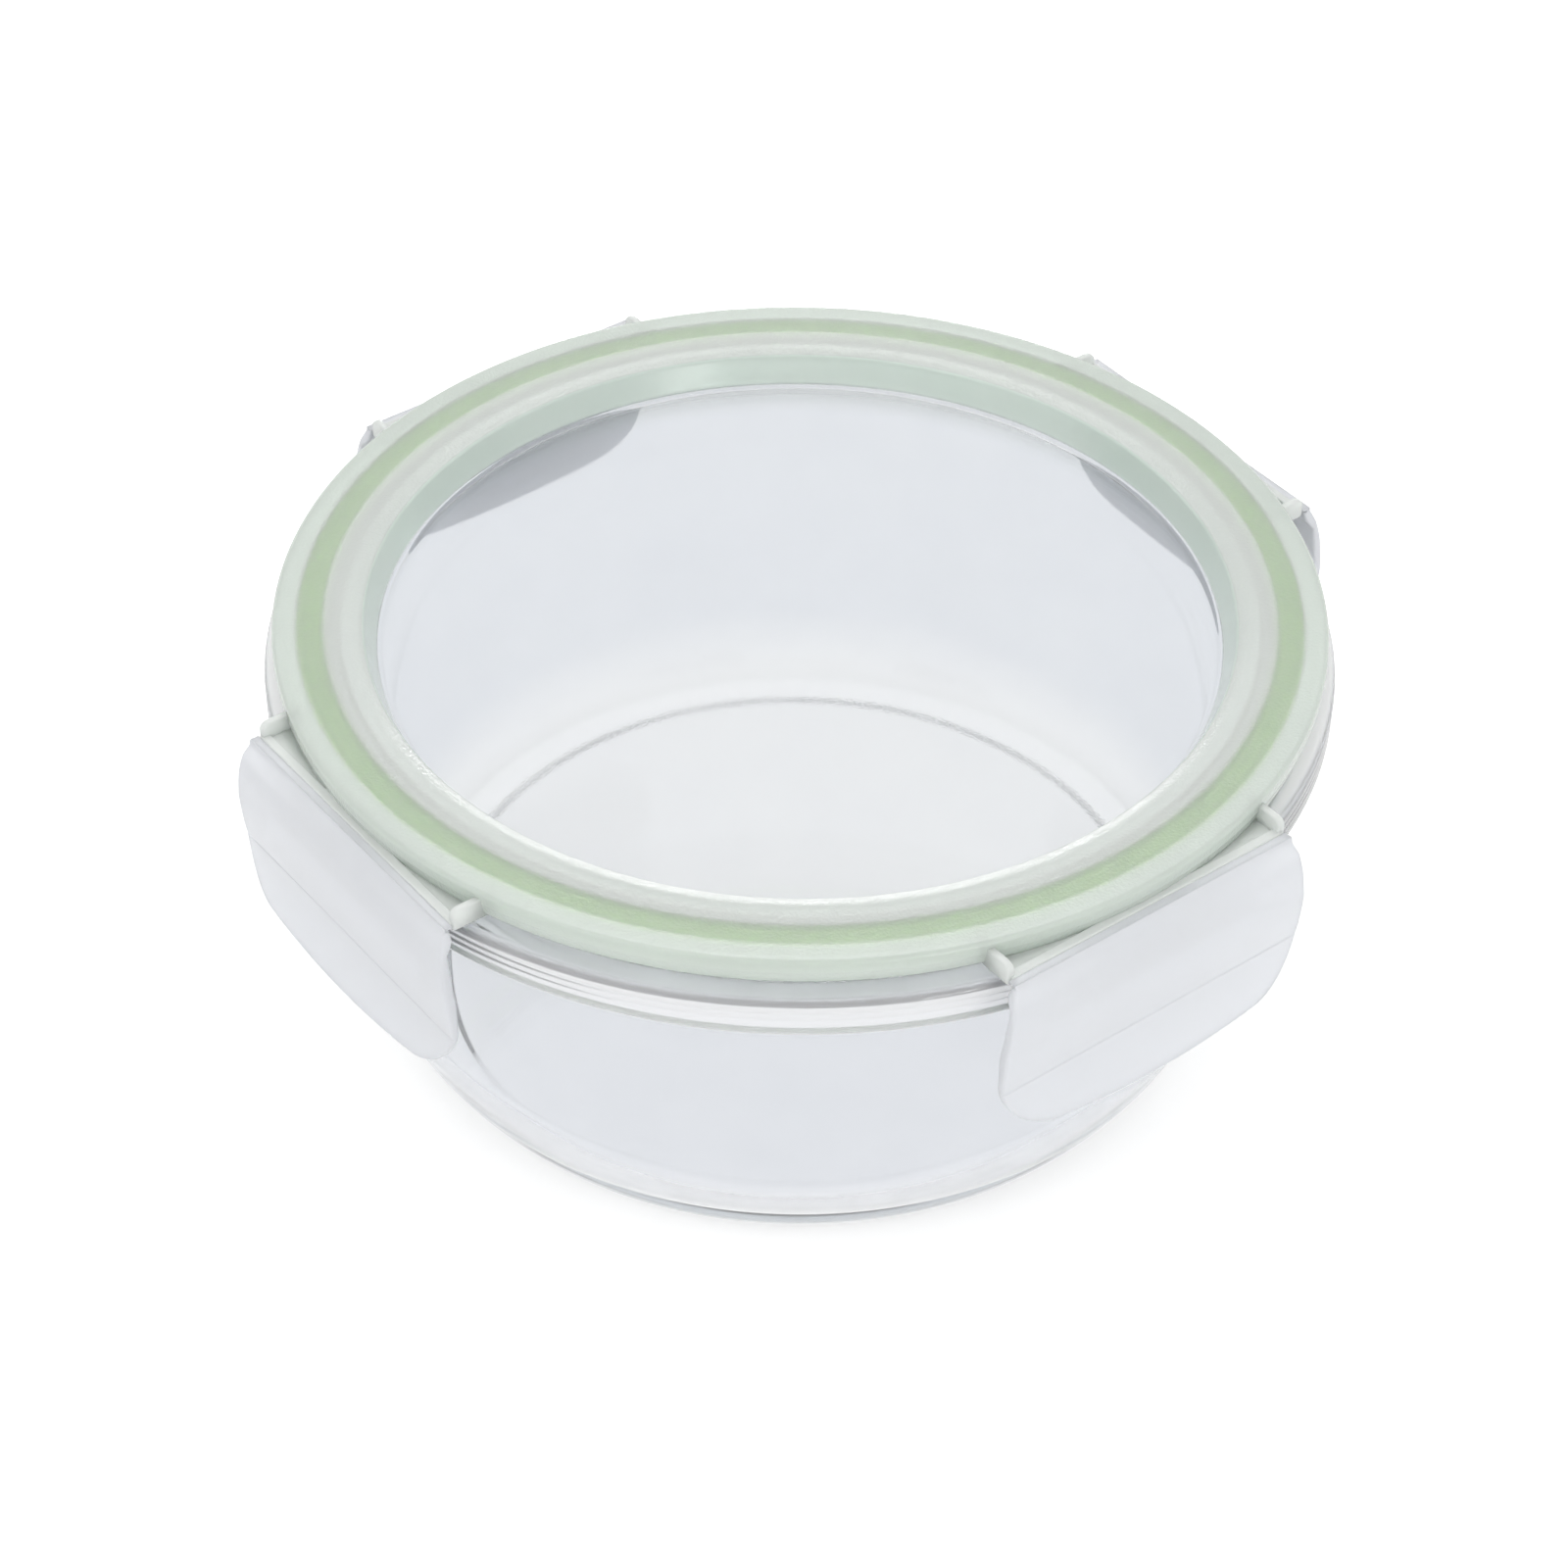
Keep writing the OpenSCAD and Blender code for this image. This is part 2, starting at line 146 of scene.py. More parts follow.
def rounded(corners: Sequence[Corner], closed: bool = False, steps: int = 5) -> list[Point]:
    """Line through corners, with an arc at each corner that has a radius.

    Args:
        corners: (x, y, radius) of each corner.
        closed: whether the line joins its ends.
        steps: number of steps in each arc.

    Returns:
        The points of the line, with a holding point beside each arc so that flat faces stay flat.
    """
    line: list[Point] = []
    count = len(corners)
    for i, (x, y, radius) in enumerate(corners):
        here = Vector((x, y))
        inside = closed or 0 < i < count - 1
        if radius <= 0 or not inside:
            line.append((x, y))
            continue
        before = Vector(corners[i - 1][:2]) - here
        after = Vector(corners[(i + 1) % count][:2]) - here
        if before.length < TINY or after.length < TINY:
            line.append((x, y))
            continue
        one, two = before.normalized(), after.normalized()
        between = one.angle(two)
        reach = radius / math.tan(between / 2)
        reach = min(reach, ARC_SHARE * before.length, ARC_SHARE * after.length)
        centre = here + (one + two).normalized() * (reach / math.cos(between / 2))
        first, last = here + one * reach - centre, here + two * reach - centre
        sweep = first.angle(last)
        line.append(tuple(here + one * reach * HOLD_SHARE))
        for k in range(steps + 1):
            share = k / steps
            if sweep > LEAST_SWEEP:
                near, far = math.sin((1 - share) * sweep), math.sin(share * sweep)
                spoke = (first * near + last * far) / math.sin(sweep)
            else:
                spoke = first.lerp(last, share)
            line.append(tuple(centre + spoke))
        line.append(tuple(here + two * reach * HOLD_SHARE))
    return line


def make_object(name: str, verts: Sequence[Spot], faces: Sequence[Sequence[int]]) -> bpy.types.Object:
    """New smooth-shaded object with outward faces.

    Args:
        name: name of the piece.
        verts: corner points, metres.
        faces: corner numbers of each face.

    Returns:
        The linked object.
    """
    mesh = bpy.data.meshes.new(name)
    mesh.from_pydata(verts, [], faces)
    build = bmesh.new()
    build.from_mesh(mesh)
    bmesh.ops.remove_doubles(build, verts=build.verts, dist=WELD)
    bmesh.ops.recalc_face_normals(build, faces=build.faces)
    build.to_mesh(mesh)
    build.free()
    for polygon in mesh.polygons:
        polygon.use_smooth = True
    obj = bpy.data.objects.new(name, mesh)
    bpy.context.scene.collection.objects.link(obj)
    return obj


def lathe(name: str, line: Sequence[Point], closed: bool = False, turns: int = 288) -> bpy.types.Object:
    """Turned solid from a half section.

    Args:
        name: name of the piece.
        line: (radius, height) points, mm; an open line starts and ends on the axis.
        closed: whether the section is a closed loop, as for a ring.
        turns: number of steps round the axis.

    Returns:
        The linked object.
    """
    verts: list[Spot] = []
    rings: list[list[int]] = []
    for r, z in line:
        if r < TINY:
            rings.append([len(verts)])
            verts.append((0.0, 0.0, z * MM))
            continue
        rings.append(list(range(len(verts), len(verts) + turns)))
        for k in range(turns):
            a = 2 * math.pi * k / turns
            verts.append((r * math.cos(a) * MM, r * math.sin(a) * MM, z * MM))
    faces: list[tuple[int, ...]] = []
    last = len(rings) if closed else len(rings) - 1
    for i in range(last):
        one, two = rings[i], rings[(i + 1) % len(rings)]
        for k in range(turns):
            m = (k + 1) % turns
            if len(one) == 1 and len(two) > 1:
                faces.append((one[0], two[m], two[k]))
            elif len(two) == 1 and len(one) > 1:
                faces.append((one[k], one[m], two[0]))
            elif len(one) > 1:
                faces.append((one[k], one[m], two[m], two[k]))
    return make_object(name, verts, faces)


def loft(name: str, sections: Sequence[Sequence[Spot]]) -> bpy.types.Object:
    """Closed solid through equal closed sections, with flat ends.

    Args:
        name: name of the piece.
        sections: loops of the same number of points, metres.

    Returns:
        The linked object.
    """
    count = len(sections[0])
    verts = [spot for section in sections for spot in section]
    faces: list[tuple[int, ...]] = []
    for i in range(len(sections) - 1):
        for k in range(count):
            m = (k + 1) % count
            faces.append((i * count + k, i * count + m, (i + 1) * count + m, (i + 1) * count + k))
    faces.append(tuple(range(count - 1, -1, -1)))
    faces.append(tuple((len(sections) - 1) * count + k for k in range(count)))
    return make_object(name, verts, faces)


# Finishes


def seen_rays(tree: bpy.types.NodeTree, *kinds: str) -> bpy.types.NodeSocket:
    """One for the named kinds of ray, and nought for the others.

    Args:
        tree: node tree to add to.
        kinds: the rays' names, from Camera, Glossy and Transmission.

    Returns:
        The socket with the value.
    """
    path = tree.nodes.new("ShaderNodeLightPath")
    seen = path.outputs[f"Is {kinds[0]} Ray"]
    for kind in kinds[1:]:
        either = tree.nodes.new("ShaderNodeMath")
        either.operation = "MAXIMUM"
        tree.links.new(seen, either.inputs[0])
        tree.links.new(path.outputs[f"Is {kind} Ray"], either.inputs[1])
        seen = either.outputs["Value"]
    return seen


@dataclass(frozen=True)
class Finish:
    """Ground for a finish: a Principled shader with named helpers for its textures."""

    name: str

    def start(self) -> tuple[bpy.types.Material, bpy.types.NodeTree, bpy.types.Node]:
        """New material with its node tree and shader."""
        material = bpy.data.materials.new(self.name)
        material.use_nodes = True
        tree = material.node_tree
        shader = next(n for n in tree.nodes if n.type == "BSDF_PRINCIPLED")
        return material, tree, shader

    @staticmethod
    def noise(
        tree: bpy.types.NodeTree, scale: float, detail: float, stretch: Spot = (1, 1, 1)
    ) -> bpy.types.NodeSocket:
        """Noise over the piece's own coordinates, in metres.

        Args:
            tree: node tree to add to.
            scale: number of waves a metre.
            detail: number of finer layers.
            stretch: scale of the coordinates.

        Returns:
            The noise's value.
        """
        where = tree.nodes.new("ShaderNodeTexCoord")
        mapping = tree.nodes.new("ShaderNodeMapping")
        mapping.inputs["Scale"].default_value = stretch
        noise = tree.nodes.new("ShaderNodeTexNoise")
        noise.inputs["Scale"].default_value = scale
        noise.inputs["Detail"].default_value = detail
        tree.links.new(where.outputs["Object"], mapping.inputs["Vector"])
        tree.links.new(mapping.outputs["Vector"], noise.inputs["Vector"])
        return noise.outputs["Fac"]

    @staticmethod
    def ramp(
        tree: bpy.types.NodeTree, source: bpy.types.NodeSocket, start: Span, end: Span = UNIT
    ) -> bpy.types.NodeSocket:
        """Maps one span of values onto another.

        Args:
            tree: node tree to add to.
            source: the value.
            start: the span that it covers.
            end: the span that it is mapped onto.

        Returns:
            The mapped value.
        """
        scale = tree.nodes.new("ShaderNodeMapRange")
        scale.inputs["From Min"].default_value, scale.inputs["From Max"].default_value = start
        scale.inputs["To Min"].default_value, scale.inputs["To Max"].default_value = end
        tree.links.new(source, scale.inputs["Value"])
        return scale.outputs["Result"]

    @staticmethod
    def climb(tree: bpy.types.NodeTree, heights: Span) -> bpy.types.NodeSocket:
        """Rises from nought to one between two heights, metres."""
        where = tree.nodes.new("ShaderNodeTexCoord")
        parts = tree.nodes.new("ShaderNodeSeparateXYZ")
        tree.links.new(where.outputs["Object"], parts.inputs["Vector"])
        return Finish.ramp(tree, parts.outputs["Z"], heights)

    @staticmethod
    def reach(tree: bpy.types.NodeTree, radii: Span) -> bpy.types.NodeSocket:
        """Rises from nought to one between two radii round the container's axis, metres."""
        where = tree.nodes.new("ShaderNodeTexCoord")
        flat = tree.nodes.new("ShaderNodeVectorMath")
        flat.operation = "MULTIPLY"
        flat.inputs[1].default_value = (1, 1, 0)
        length = tree.nodes.new("ShaderNodeVectorMath")
        length.operation = "LENGTH"
        tree.links.new(where.outputs["Object"], flat.inputs[0])
        tree.links.new(flat.outputs["Vector"], length.inputs[0])
        return Finish.ramp(tree, length.outputs["Value"], radii)

    @staticmethod
    def blend(
        tree: bpy.types.NodeTree,
        share: bpy.types.NodeSocket,
        one: bpy.types.NodeSocket,
        two: bpy.types.NodeSocket,
    ) -> bpy.types.NodeSocket:
        """Goes from one colour to two as the share goes from nought to one."""
        mix = tree.nodes.new("ShaderNodeMix")
        mix.data_type = "RGBA"
        tree.links.new(share, mix.inputs["Factor"])
        tree.links.new(one, mix.inputs["A"])
        tree.links.new(two, mix.inputs["B"])
        return mix.outputs["Result"]

    @staticmethod
    def shades(
        tree: bpy.types.NodeTree, source: bpy.types.NodeSocket, dark: Colour, light: Colour
    ) -> bpy.types.NodeSocket:
        """Colours a noise between two shades."""
        ramp = tree.nodes.new("ShaderNodeValToRGB")
        for element, place, colour in zip(ramp.color_ramp.elements, NOISE_SPAN, (dark, light)):
            element.position = place
            element.color = colour
        tree.links.new(source, ramp.inputs["Fac"])
        return ramp.outputs["Color"]

    @staticmethod
    def bump(
        tree: bpy.types.NodeTree,
        height: bpy.types.NodeSocket,
        strength: float,
        depth: float,
        below: bpy.types.NodeSocket | None = None,
    ) -> bpy.types.NodeSocket:
        """Relief for a shader.

        Args:
            tree: node tree to add to.
            height: texture of the relief.
            strength: share of the relief that shows.
            depth: depth of the relief, metres.
            below: relief that this one lies on.

        Returns:
            The relief's normal.
        """
        bump = tree.nodes.new("ShaderNodeBump")
        bump.inputs["Strength"].default_value = strength
        bump.inputs["Distance"].default_value = depth
        tree.links.new(height, bump.inputs["Height"])
        if below is not None:
            tree.links.new(below, bump.inputs["Normal"])
        return bump.outputs["Normal"]


@dataclass(frozen=True)
class GlassFinish(Finish):
    """Clear pressed glass: long faint waves, a breath of haze, a cool tint in depth, and painted shade that
    makes the walls darker and bluer than the floor and flange.
    """

    name: str = "clear_glass"
    ior: float = 1.47
    tint: Colour = (0.7, 0.74, 0.78, 1.0)
    density: float = 16.0
    clear: float = 0.96
    flange_clear: float = 0.7
    flange_start: Span = (0.058, 0.062)
    # Rise at which the walls' painted shade starts, and that painted shade: darker and bluer than the floor's
    # and flange's base shades
    wall_shade_start: Span = (0.006, 0.016)
    shaded_wall_dark: Colour = (0.85, 0.87, 0.908, 1.0)
    shaded_wall_light: Colour = (0.872, 0.89, 0.926, 1.0)
    base_dark: Colour = (0.985, 0.986, 0.99, 1.0)
    base_light: Colour = (0.992, 0.993, 0.996, 1.0)
    haze_scale: float = 90.0
    haze: Span = (0.0, 0.02)
    wave_scale: float = 38.0
    wave_stretch: Spot = (1.0, 1.0, 0.6)
    wave_relief: float = 0.1
    wave_depth: float = 0.0006

    def build(self) -> bpy.types.Material:
        """Makes the material."""
        material, tree, shader = self.start()
        shader.inputs["IOR"].default_value = self.ior
        flange = self.climb(tree, self.flange_start)
        clear = self.ramp(tree, flange, UNIT, (self.clear, self.flange_clear))
        tree.links.new(clear, shader.inputs["Transmission Weight"])
        haze = self.noise(tree, self.haze_scale, 2.0)
        # Painted shade: the walls take darker, bluer shades than the floor and flange, standing in for the
        # shade seen through them
        wall = self.shades(tree, haze, self.shaded_wall_dark, self.shaded_wall_light)
        base = self.shades(tree, haze, self.base_dark, self.base_light)
        wall_shade_share = tree.nodes.new("ShaderNodeMath")
        wall_shade_share.operation = "SUBTRACT"
        tree.links.new(self.climb(tree, self.wall_shade_start), wall_shade_share.inputs[0])
        tree.links.new(flange, wall_shade_share.inputs[1])
        tree.links.new(self.blend(tree, wall_shade_share.outputs["Value"], base, wall), shader.inputs["Base Color"])
        tree.links.new(self.ramp(tree, haze, NOISE_SPAN, self.haze), shader.inputs["Roughness"])
        waves = self.noise(tree, self.wave_scale, 1.0, self.wave_stretch)
        tree.links.new(self.bump(tree, waves, self.wave_relief, self.wave_depth), shader.inputs["Normal"])
        depth = tree.nodes.new("ShaderNodeVolumeAbsorption")
        depth.inputs["Color"].default_value = self.tint
        depth.inputs["Density"].default_value = self.density
        out = next(n for n in tree.nodes if n.type == "OUTPUT_MATERIAL")
        tree.links.new(depth.outputs["Volume"], out.inputs["Volume"])
        return material


@dataclass(frozen=True)
class PlasticFinish(Finish):
    """Translucent polypropylene, from polished and clear to milky under a thin grained skin."""

    clear: float = 0.8
    smooth: float = 0.1
    matt: float = 0.16
    skin: float = 0.0
    polish: float = 0.08
    milk: float | None = None
    # Painted shade over the land, and painted shade with the gasket's painted green light on the skirt, with
    # the radii where each comes in
    land_painted_shade: Colour = (0.74, 0.775, 0.745, 1.0)
    land_edge: Span = (0.0784, 0.0774)
    skirt_tint: Colour = (0.77, 0.84, 0.78, 1.0)
    skirt_edge: Span = (0.0819, 0.0829)
    paler: float = 1.04
    dark: Colour = (0.945, 0.97, 0.955, 1.0)
    light: Colour = (0.96, 0.98, 0.965, 1.0)
    flow_scale: float = 55.0
    flow_stretch: Spot = (1.0, 1.0, 1.6)
    grain: float = 2600.0
    relief: float = 0.1
    depth: float = 0.00012
    sink_scale: float = 70.0
    sink_relief: float = 0.05
    sink_depth: float = 0.0004
    ior: float = 1.49

    def build(self) -> bpy.types.Material:
        """Makes the material: where milk is set, the ring is clear only between its land and its skirt, its
        land takes painted shade, and its skirt takes painted shade with painted green light from the gasket.
        """
        material, tree, shader = self.start()
        shader.inputs["IOR"].default_value = self.ior
        shader.inputs["Transmission Weight"].default_value = self.clear
        flow = self.noise(tree, self.flow_scale, 3.0, self.flow_stretch)
        shade = self.shades(tree, flow, self.dark, self.light)
        # Painted shade: the land is darker, and the skirt darker and greener with painted green light from
        # the gasket
        if self.milk is not None:
            both = tree.nodes.new("ShaderNodeMath")
            both.operation = "MAXIMUM"
            painted_shade_zones = ((self.land_edge, self.land_painted_shade), (self.skirt_edge, self.skirt_tint))
            for spot, (edge, tint) in enumerate(painted_shade_zones):
                side = self.reach(tree, edge)
                tree.links.new(side, both.inputs[spot])
                pale = self.shades(tree, flow, tint, tuple(min(1.0, c * self.paler) for c in tint))
                shade = self.blend(tree, side, shade, pale)
            clear = self.ramp(tree, both.outputs["Value"], UNIT, (self.clear, self.milk))
            tree.links.new(clear, shader.inputs["Transmission Weight"])
        tree.links.new(shade, shader.inputs["Base Color"])
        rough = self.ramp(tree, flow, NOISE_SPAN, (self.smooth, self.matt))
        tree.links.new(rough, shader.inputs["Roughness"])
        sink = self.noise(tree, self.sink_scale, 1.0)
        soft = self.bump(tree, sink, self.sink_relief, self.sink_depth)
        spark = self.noise(tree, self.grain, 2.0)
        fine = self.bump(tree, spark, self.relief, self.depth, soft)
        tree.links.new(fine, shader.inputs["Normal"])
        if self.skin > 0:
            shader.inputs["Coat Weight"].default_value = self.skin
            shader.inputs["Coat Roughness"].default_value = self.polish
            shader.inputs["Coat IOR"].default_value = self.ior
            tree.links.new(fine, shader.inputs["Coat Normal"])
        return material


@dataclass(frozen=True)
class SiliconeFinish(Finish):
    """Soft green silicone with a faintly cloudy colour, a fine grain and a satin face."""

    name: str = "green_silicone"
    dark: Colour = (0.37, 0.76, 0.05, 1.0)
    light: Colour = (0.43, 0.82, 0.08, 1.0)
    flesh: float = 0.25
    flesh_tint: Spot = (0.6, 1.0, 0.4)
    flesh_depth: float = 0.001
    cloud_scale: float = 160.0
    satin: Span = (0.42, 0.6)
    grain: float = 1800.0
    relief: float = 0.3
    depth: float = 0.0001

    def build(self) -> bpy.types.Material:
        """Makes the material."""
        material, tree, shader = self.start()
        shader.inputs["Subsurface Weight"].default_value = self.flesh
        shader.inputs["Subsurface Radius"].default_value = self.flesh_tint
        shader.inputs["Subsurface Scale"].default_value = self.flesh_depth
        cloud = self.noise(tree, self.cloud_scale, 3.0)
        tree.links.new(self.shades(tree, cloud, self.dark, self.light), shader.inputs["Base Color"])
        tree.links.new(self.ramp(tree, cloud, NOISE_SPAN, self.satin), shader.inputs["Roughness"])
        skin = self.noise(tree, self.grain, 2.0)
        tree.links.new(self.bump(tree, skin, self.relief, self.depth), shader.inputs["Normal"])
        return material


@dataclass(frozen=True)
class FloorFinish(Finish):
    """Pale studio table with a barely mottled face."""

    name: str = "studio_table"
    dark: Colour = (0.965, 0.965, 0.965, 1.0)
    light: Colour = (0.985, 0.985, 0.985, 1.0)
    cloud_scale: float = 6.0
    matt: float = 0.9
    lift: float = 0.36
    white: float = 0.95

    @staticmethod
    def glow(tree: bpy.types.NodeTree) -> bpy.types.Node:
        """White emission."""
        glow = tree.nodes.new("ShaderNodeEmission")
        glow.inputs["Color"].default_value = WHITE
        glow.inputs["Strength"].default_value = 1.0
        return glow

    @staticmethod
    def share(tree: bpy.types.NodeTree, part: float, *kinds: str) -> bpy.types.NodeSocket:
        """A part of one for the named kinds of ray."""
        share = tree.nodes.new("ShaderNodeMath")
        share.operation = "MULTIPLY"
        tree.links.new(seen_rays(tree, *kinds), share.inputs[0])
        share.inputs[1].default_value = part
        return share.outputs["Value"]

    def build(self) -> bpy.types.Material:
        """Makes the material: the eye sees white with a close shadow, gloss and glass see mostly white."""
        material, tree, shader = self.start()
        shader.inputs["Roughness"].default_value = self.matt
        shader.inputs["Specular IOR Level"].default_value = 0.0
        cloud = self.noise(tree, self.cloud_scale, 2.0)
        tree.links.new(self.shades(tree, cloud, self.dark, self.light), shader.inputs["Base Color"])
        lifted = self.glow(tree)
        tree.links.new(self.share(tree, self.lift, "Camera"), lifted.inputs["Strength"])
        both = tree.nodes.new("ShaderNodeAddShader")
        tree.links.new(shader.outputs["BSDF"], both.inputs[0])
        tree.links.new(lifted.outputs["Emission"], both.inputs[1])
        mix = tree.nodes.new("ShaderNodeMixShader")
        tree.links.new(self.share(tree, self.white, "Glossy", "Transmission"), mix.inputs["Fac"])
        tree.links.new(both.outputs["Shader"], mix.inputs[1])
        tree.links.new(self.glow(tree).outputs["Emission"], mix.inputs[2])
        out = next(n for n in tree.nodes if n.type == "OUTPUT_MATERIAL")
        tree.links.new(mix.outputs["Shader"], out.inputs["Surface"])
        return material


class Finishes:
    """Every finish of the container, made once."""

    def __init__(self) -> None:
        """Builds the materials."""
        self.glass = GlassFinish().build()
        # The ring's faint green is painted green light from the gasket; its land and skirt tints are painted
        # shade
        self.frost = PlasticFinish(
            "frosted_lid_ring", clear=0.84, milk=0.45, smooth=0.36, matt=0.46, skin=1.0,
            relief=0.7, grain=1800, dark=(0.95, 0.985, 0.95, 1), light=(0.965, 0.99, 0.965, 1),
        ).build()
        self.shelf = PlasticFinish(
            "frosted_hinge_shelf", clear=0.4, smooth=0.38, matt=0.46, skin=0.4, relief=0.3,
            dark=(0.945, 0.975, 0.95, 1), light=(0.96, 0.985, 0.965, 1),
        ).build()
        # Its green is painted green light from the gasket, as seen through the wall
        self.wall = PlasticFinish(
            "glossy_recess_wall", clear=0.5, smooth=0.3, matt=0.4, skin=1.0, polish=0.16,
            relief=0.2, grain=300, dark=(0.82, 0.935, 0.86, 1), light=(0.87, 0.965, 0.9, 1),
        ).build()
        self.panel = PlasticFinish(
            "clear_lid_panel", clear=0.94, smooth=0.02, matt=0.05, relief=0.02,
            dark=(0.92, 0.935, 0.95, 1), light=(0.935, 0.95, 0.96, 1),
        ).build()
        self.latch = PlasticFinish(
            "frosted_latch", clear=0.42, smooth=0.36, matt=0.46, skin=0.3, relief=0.1,
            dark=(0.925, 0.942, 0.972, 1), light=(0.938, 0.954, 0.98, 1),
        ).build()
        self.silicone = SiliconeFinish().build()
        self.table = FloorFinish().build()


def dress(piece: bpy.types.Object, body: str, slot: str, *materials: bpy.types.Material) -> None:
    """Gives a piece its finish and its body.

    Args:
        piece: the piece.
        body: body of the frame that it rides on.
        slot: the record's material slot; not used.
        materials: its materials, in slot order.
    """
    for material in materials:
        piece.data.materials.append(material)
    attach(piece, body)
    LOG.info("%s: %d faces, rides on %s", piece.name, len(piece.data.polygons), body)


# Sub-assemblies


@dataclass
class GlassBowl:
    """The turned glass bowl."""

    flange_r: float = 88.0
    flange_reach: float = 5.4
    flange_z: float = 62.0
    flange_h: float = 7.2
    flange_edge_r: float = 1.3
    flange_fillet_r: float = 2.6
    rim_rise: float = 3.2
    rim_t: float = 3.0
    rim_edge_r: float = 0.9
    wall_t: float = 4.4
    wall_draft: float = 8.0
    heel_r: float = 40.0
    foot_in: float = 5.6
    foot_w: float = 6.0
    foot_rise: float = 1.2
    floor_t: float = 4.5
    crease_r: float = 2.6
    line_d: float = 0.06
    line_w: float = 0.6
    line_z: tuple[float, ...] = (64.3, 65.6, 66.9)
    line_clear: float = 0.7
    line_form: tuple[Point, ...] = ((-0.5, 0.0), (-0.25, 0.6), (0.0, 1.0), (0.25, 0.6), (0.5, 0.0))
    hollow_flat: float = 8.0
    hollow_r: float = 1.2
    foot_in_r: float = 0.8
    foot_out_r: float = 0.7
    wall_flat: float = 14.0
    floor_flat: float = 12.0
    heel_steps: int = 26
    inner_steps: int = 24
    crease_steps: int = 5

    def wall_r(self, z: float) -> float:
        """Outer radius of the wall's line at a height."""
        slope = math.tan(math.radians(self.wall_draft))
        return self.flange_r - self.flange_reach + (z - self.flange_z) * slope

    @property
    def foot_r(self) -> float:
        """Outer radius of the foot ring."""
        return self.wall_r(0.0) - self.foot_in

    @property
    def rim_top(self) -> float:
        """Height of the sealing rim."""
        return self.flange_z + self.flange_h + self.rim_rise

    @property
    def rim_in(self) -> float:
        """Inner radius of the sealing rim."""
        return self.wall_r(self.rim_top) - self.wall_t / math.cos(math.radians(self.wall_draft))

    @property
    def rim_out(self) -> float:
        """Outer radius of the sealing rim."""
        return self.rim_in + self.rim_t

    def heel_centre(self) -> Point:
        """Centre of the heel's arcs, which touch the wall and pass through the foot's edge."""
        draft = math.radians(self.wall_draft)
        slope = math.tan(draft)
        across = self.foot_in - self.heel_r * math.cos(draft)
        up = self.heel_r * math.sin(draft)
        b = across * slope + up
        c = across * across + up * up - self.heel_r * self.heel_r
        k = 1 + slope * slope
        touch = (-b + math.sqrt(b * b - k * c)) / k
        return self.wall_r(touch) - self.heel_r * math.cos(draft), touch + up

    def section(self) -> list[Point]:
        """Half section from the axis under the base, round the outside and back over the floor."""
        centre = self.heel_centre()
        foot_angle = math.degrees(math.atan2(-centre[1], self.foot_r - centre[0]))
        hollow = self.foot_r - self.foot_w
        heel = arc(centre, self.heel_r, foot_angle, -self.wall_draft, self.heel_steps)
        floor_z = self.foot_rise + self.floor_t
        inner_r = self.heel_r - self.wall_t
        crease_angle = math.degrees(math.asin((floor_z - centre[1]) / inner_r))
        inner = arc(centre, inner_r, -self.wall_draft, crease_angle, self.inner_steps)
        crease = inner[-1]
        wall_in = self.wall_t / math.cos(math.radians(self.wall_draft))
        flange_top = self.flange_z + self.flange_h
        straight = self.flange_z - self.wall_flat
        corners: list[Corner] = [
            (0.0, self.foot_rise, 0.0),
            (hollow - self.hollow_flat, self.foot_rise, 0.0),
            (hollow - self.foot_rise, self.foot_rise, self.hollow_r),
            (hollow, 0.0, self.foot_in_r),
            (self.foot_r, 0.0, self.foot_out_r),
            *heel[1:],
            (self.wall_r(straight), straight, 0.0),
            (self.wall_r(self.flange_z), self.flange_z, self.flange_fillet_r),
            (self.flange_r, self.flange_z, self.flange_edge_r),
            (self.flange_r, flange_top, self.flange_edge_r),
            (self.rim_out, flange_top, self.rim_edge_r),
            (self.rim_out, self.rim_top, self.rim_edge_r),
            (self.rim_in, self.rim_top, self.rim_edge_r),
            (self.wall_r(self.flange_z) - wall_in, self.flange_z, 0.0),
            *inner[: -self.crease_steps],
            (crease[0], crease[1], self.crease_r),
            (crease[0] - self.floor_flat, floor_z, 0.0),
            (0.0, floor_z, 0.0),
        ]
        line = rounded(corners)
        above = self.line_z[0] - self.line_clear
        face = next(i for i, (r, z) in enumerate(line) if abs(r - self.flange_r) < TINY and z > above)
        grooves: list[Point] = []
        for z in self.line_z:
            for step, depth in self.line_form:
                grooves.append((self.flange_r - self.line_d * depth, z + self.line_w * step))
        return line[: face + 1] + grooves + line[face + 1 :]

    def build(self, finishes: Finishes) -> None:
        """Makes the bowl and puts it in the frame."""
        bowl = lathe("bowl_glass", self.section(), turns=320)
        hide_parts("glass_bowl")
        dress(bowl, "bowl", "glass", finishes.glass)


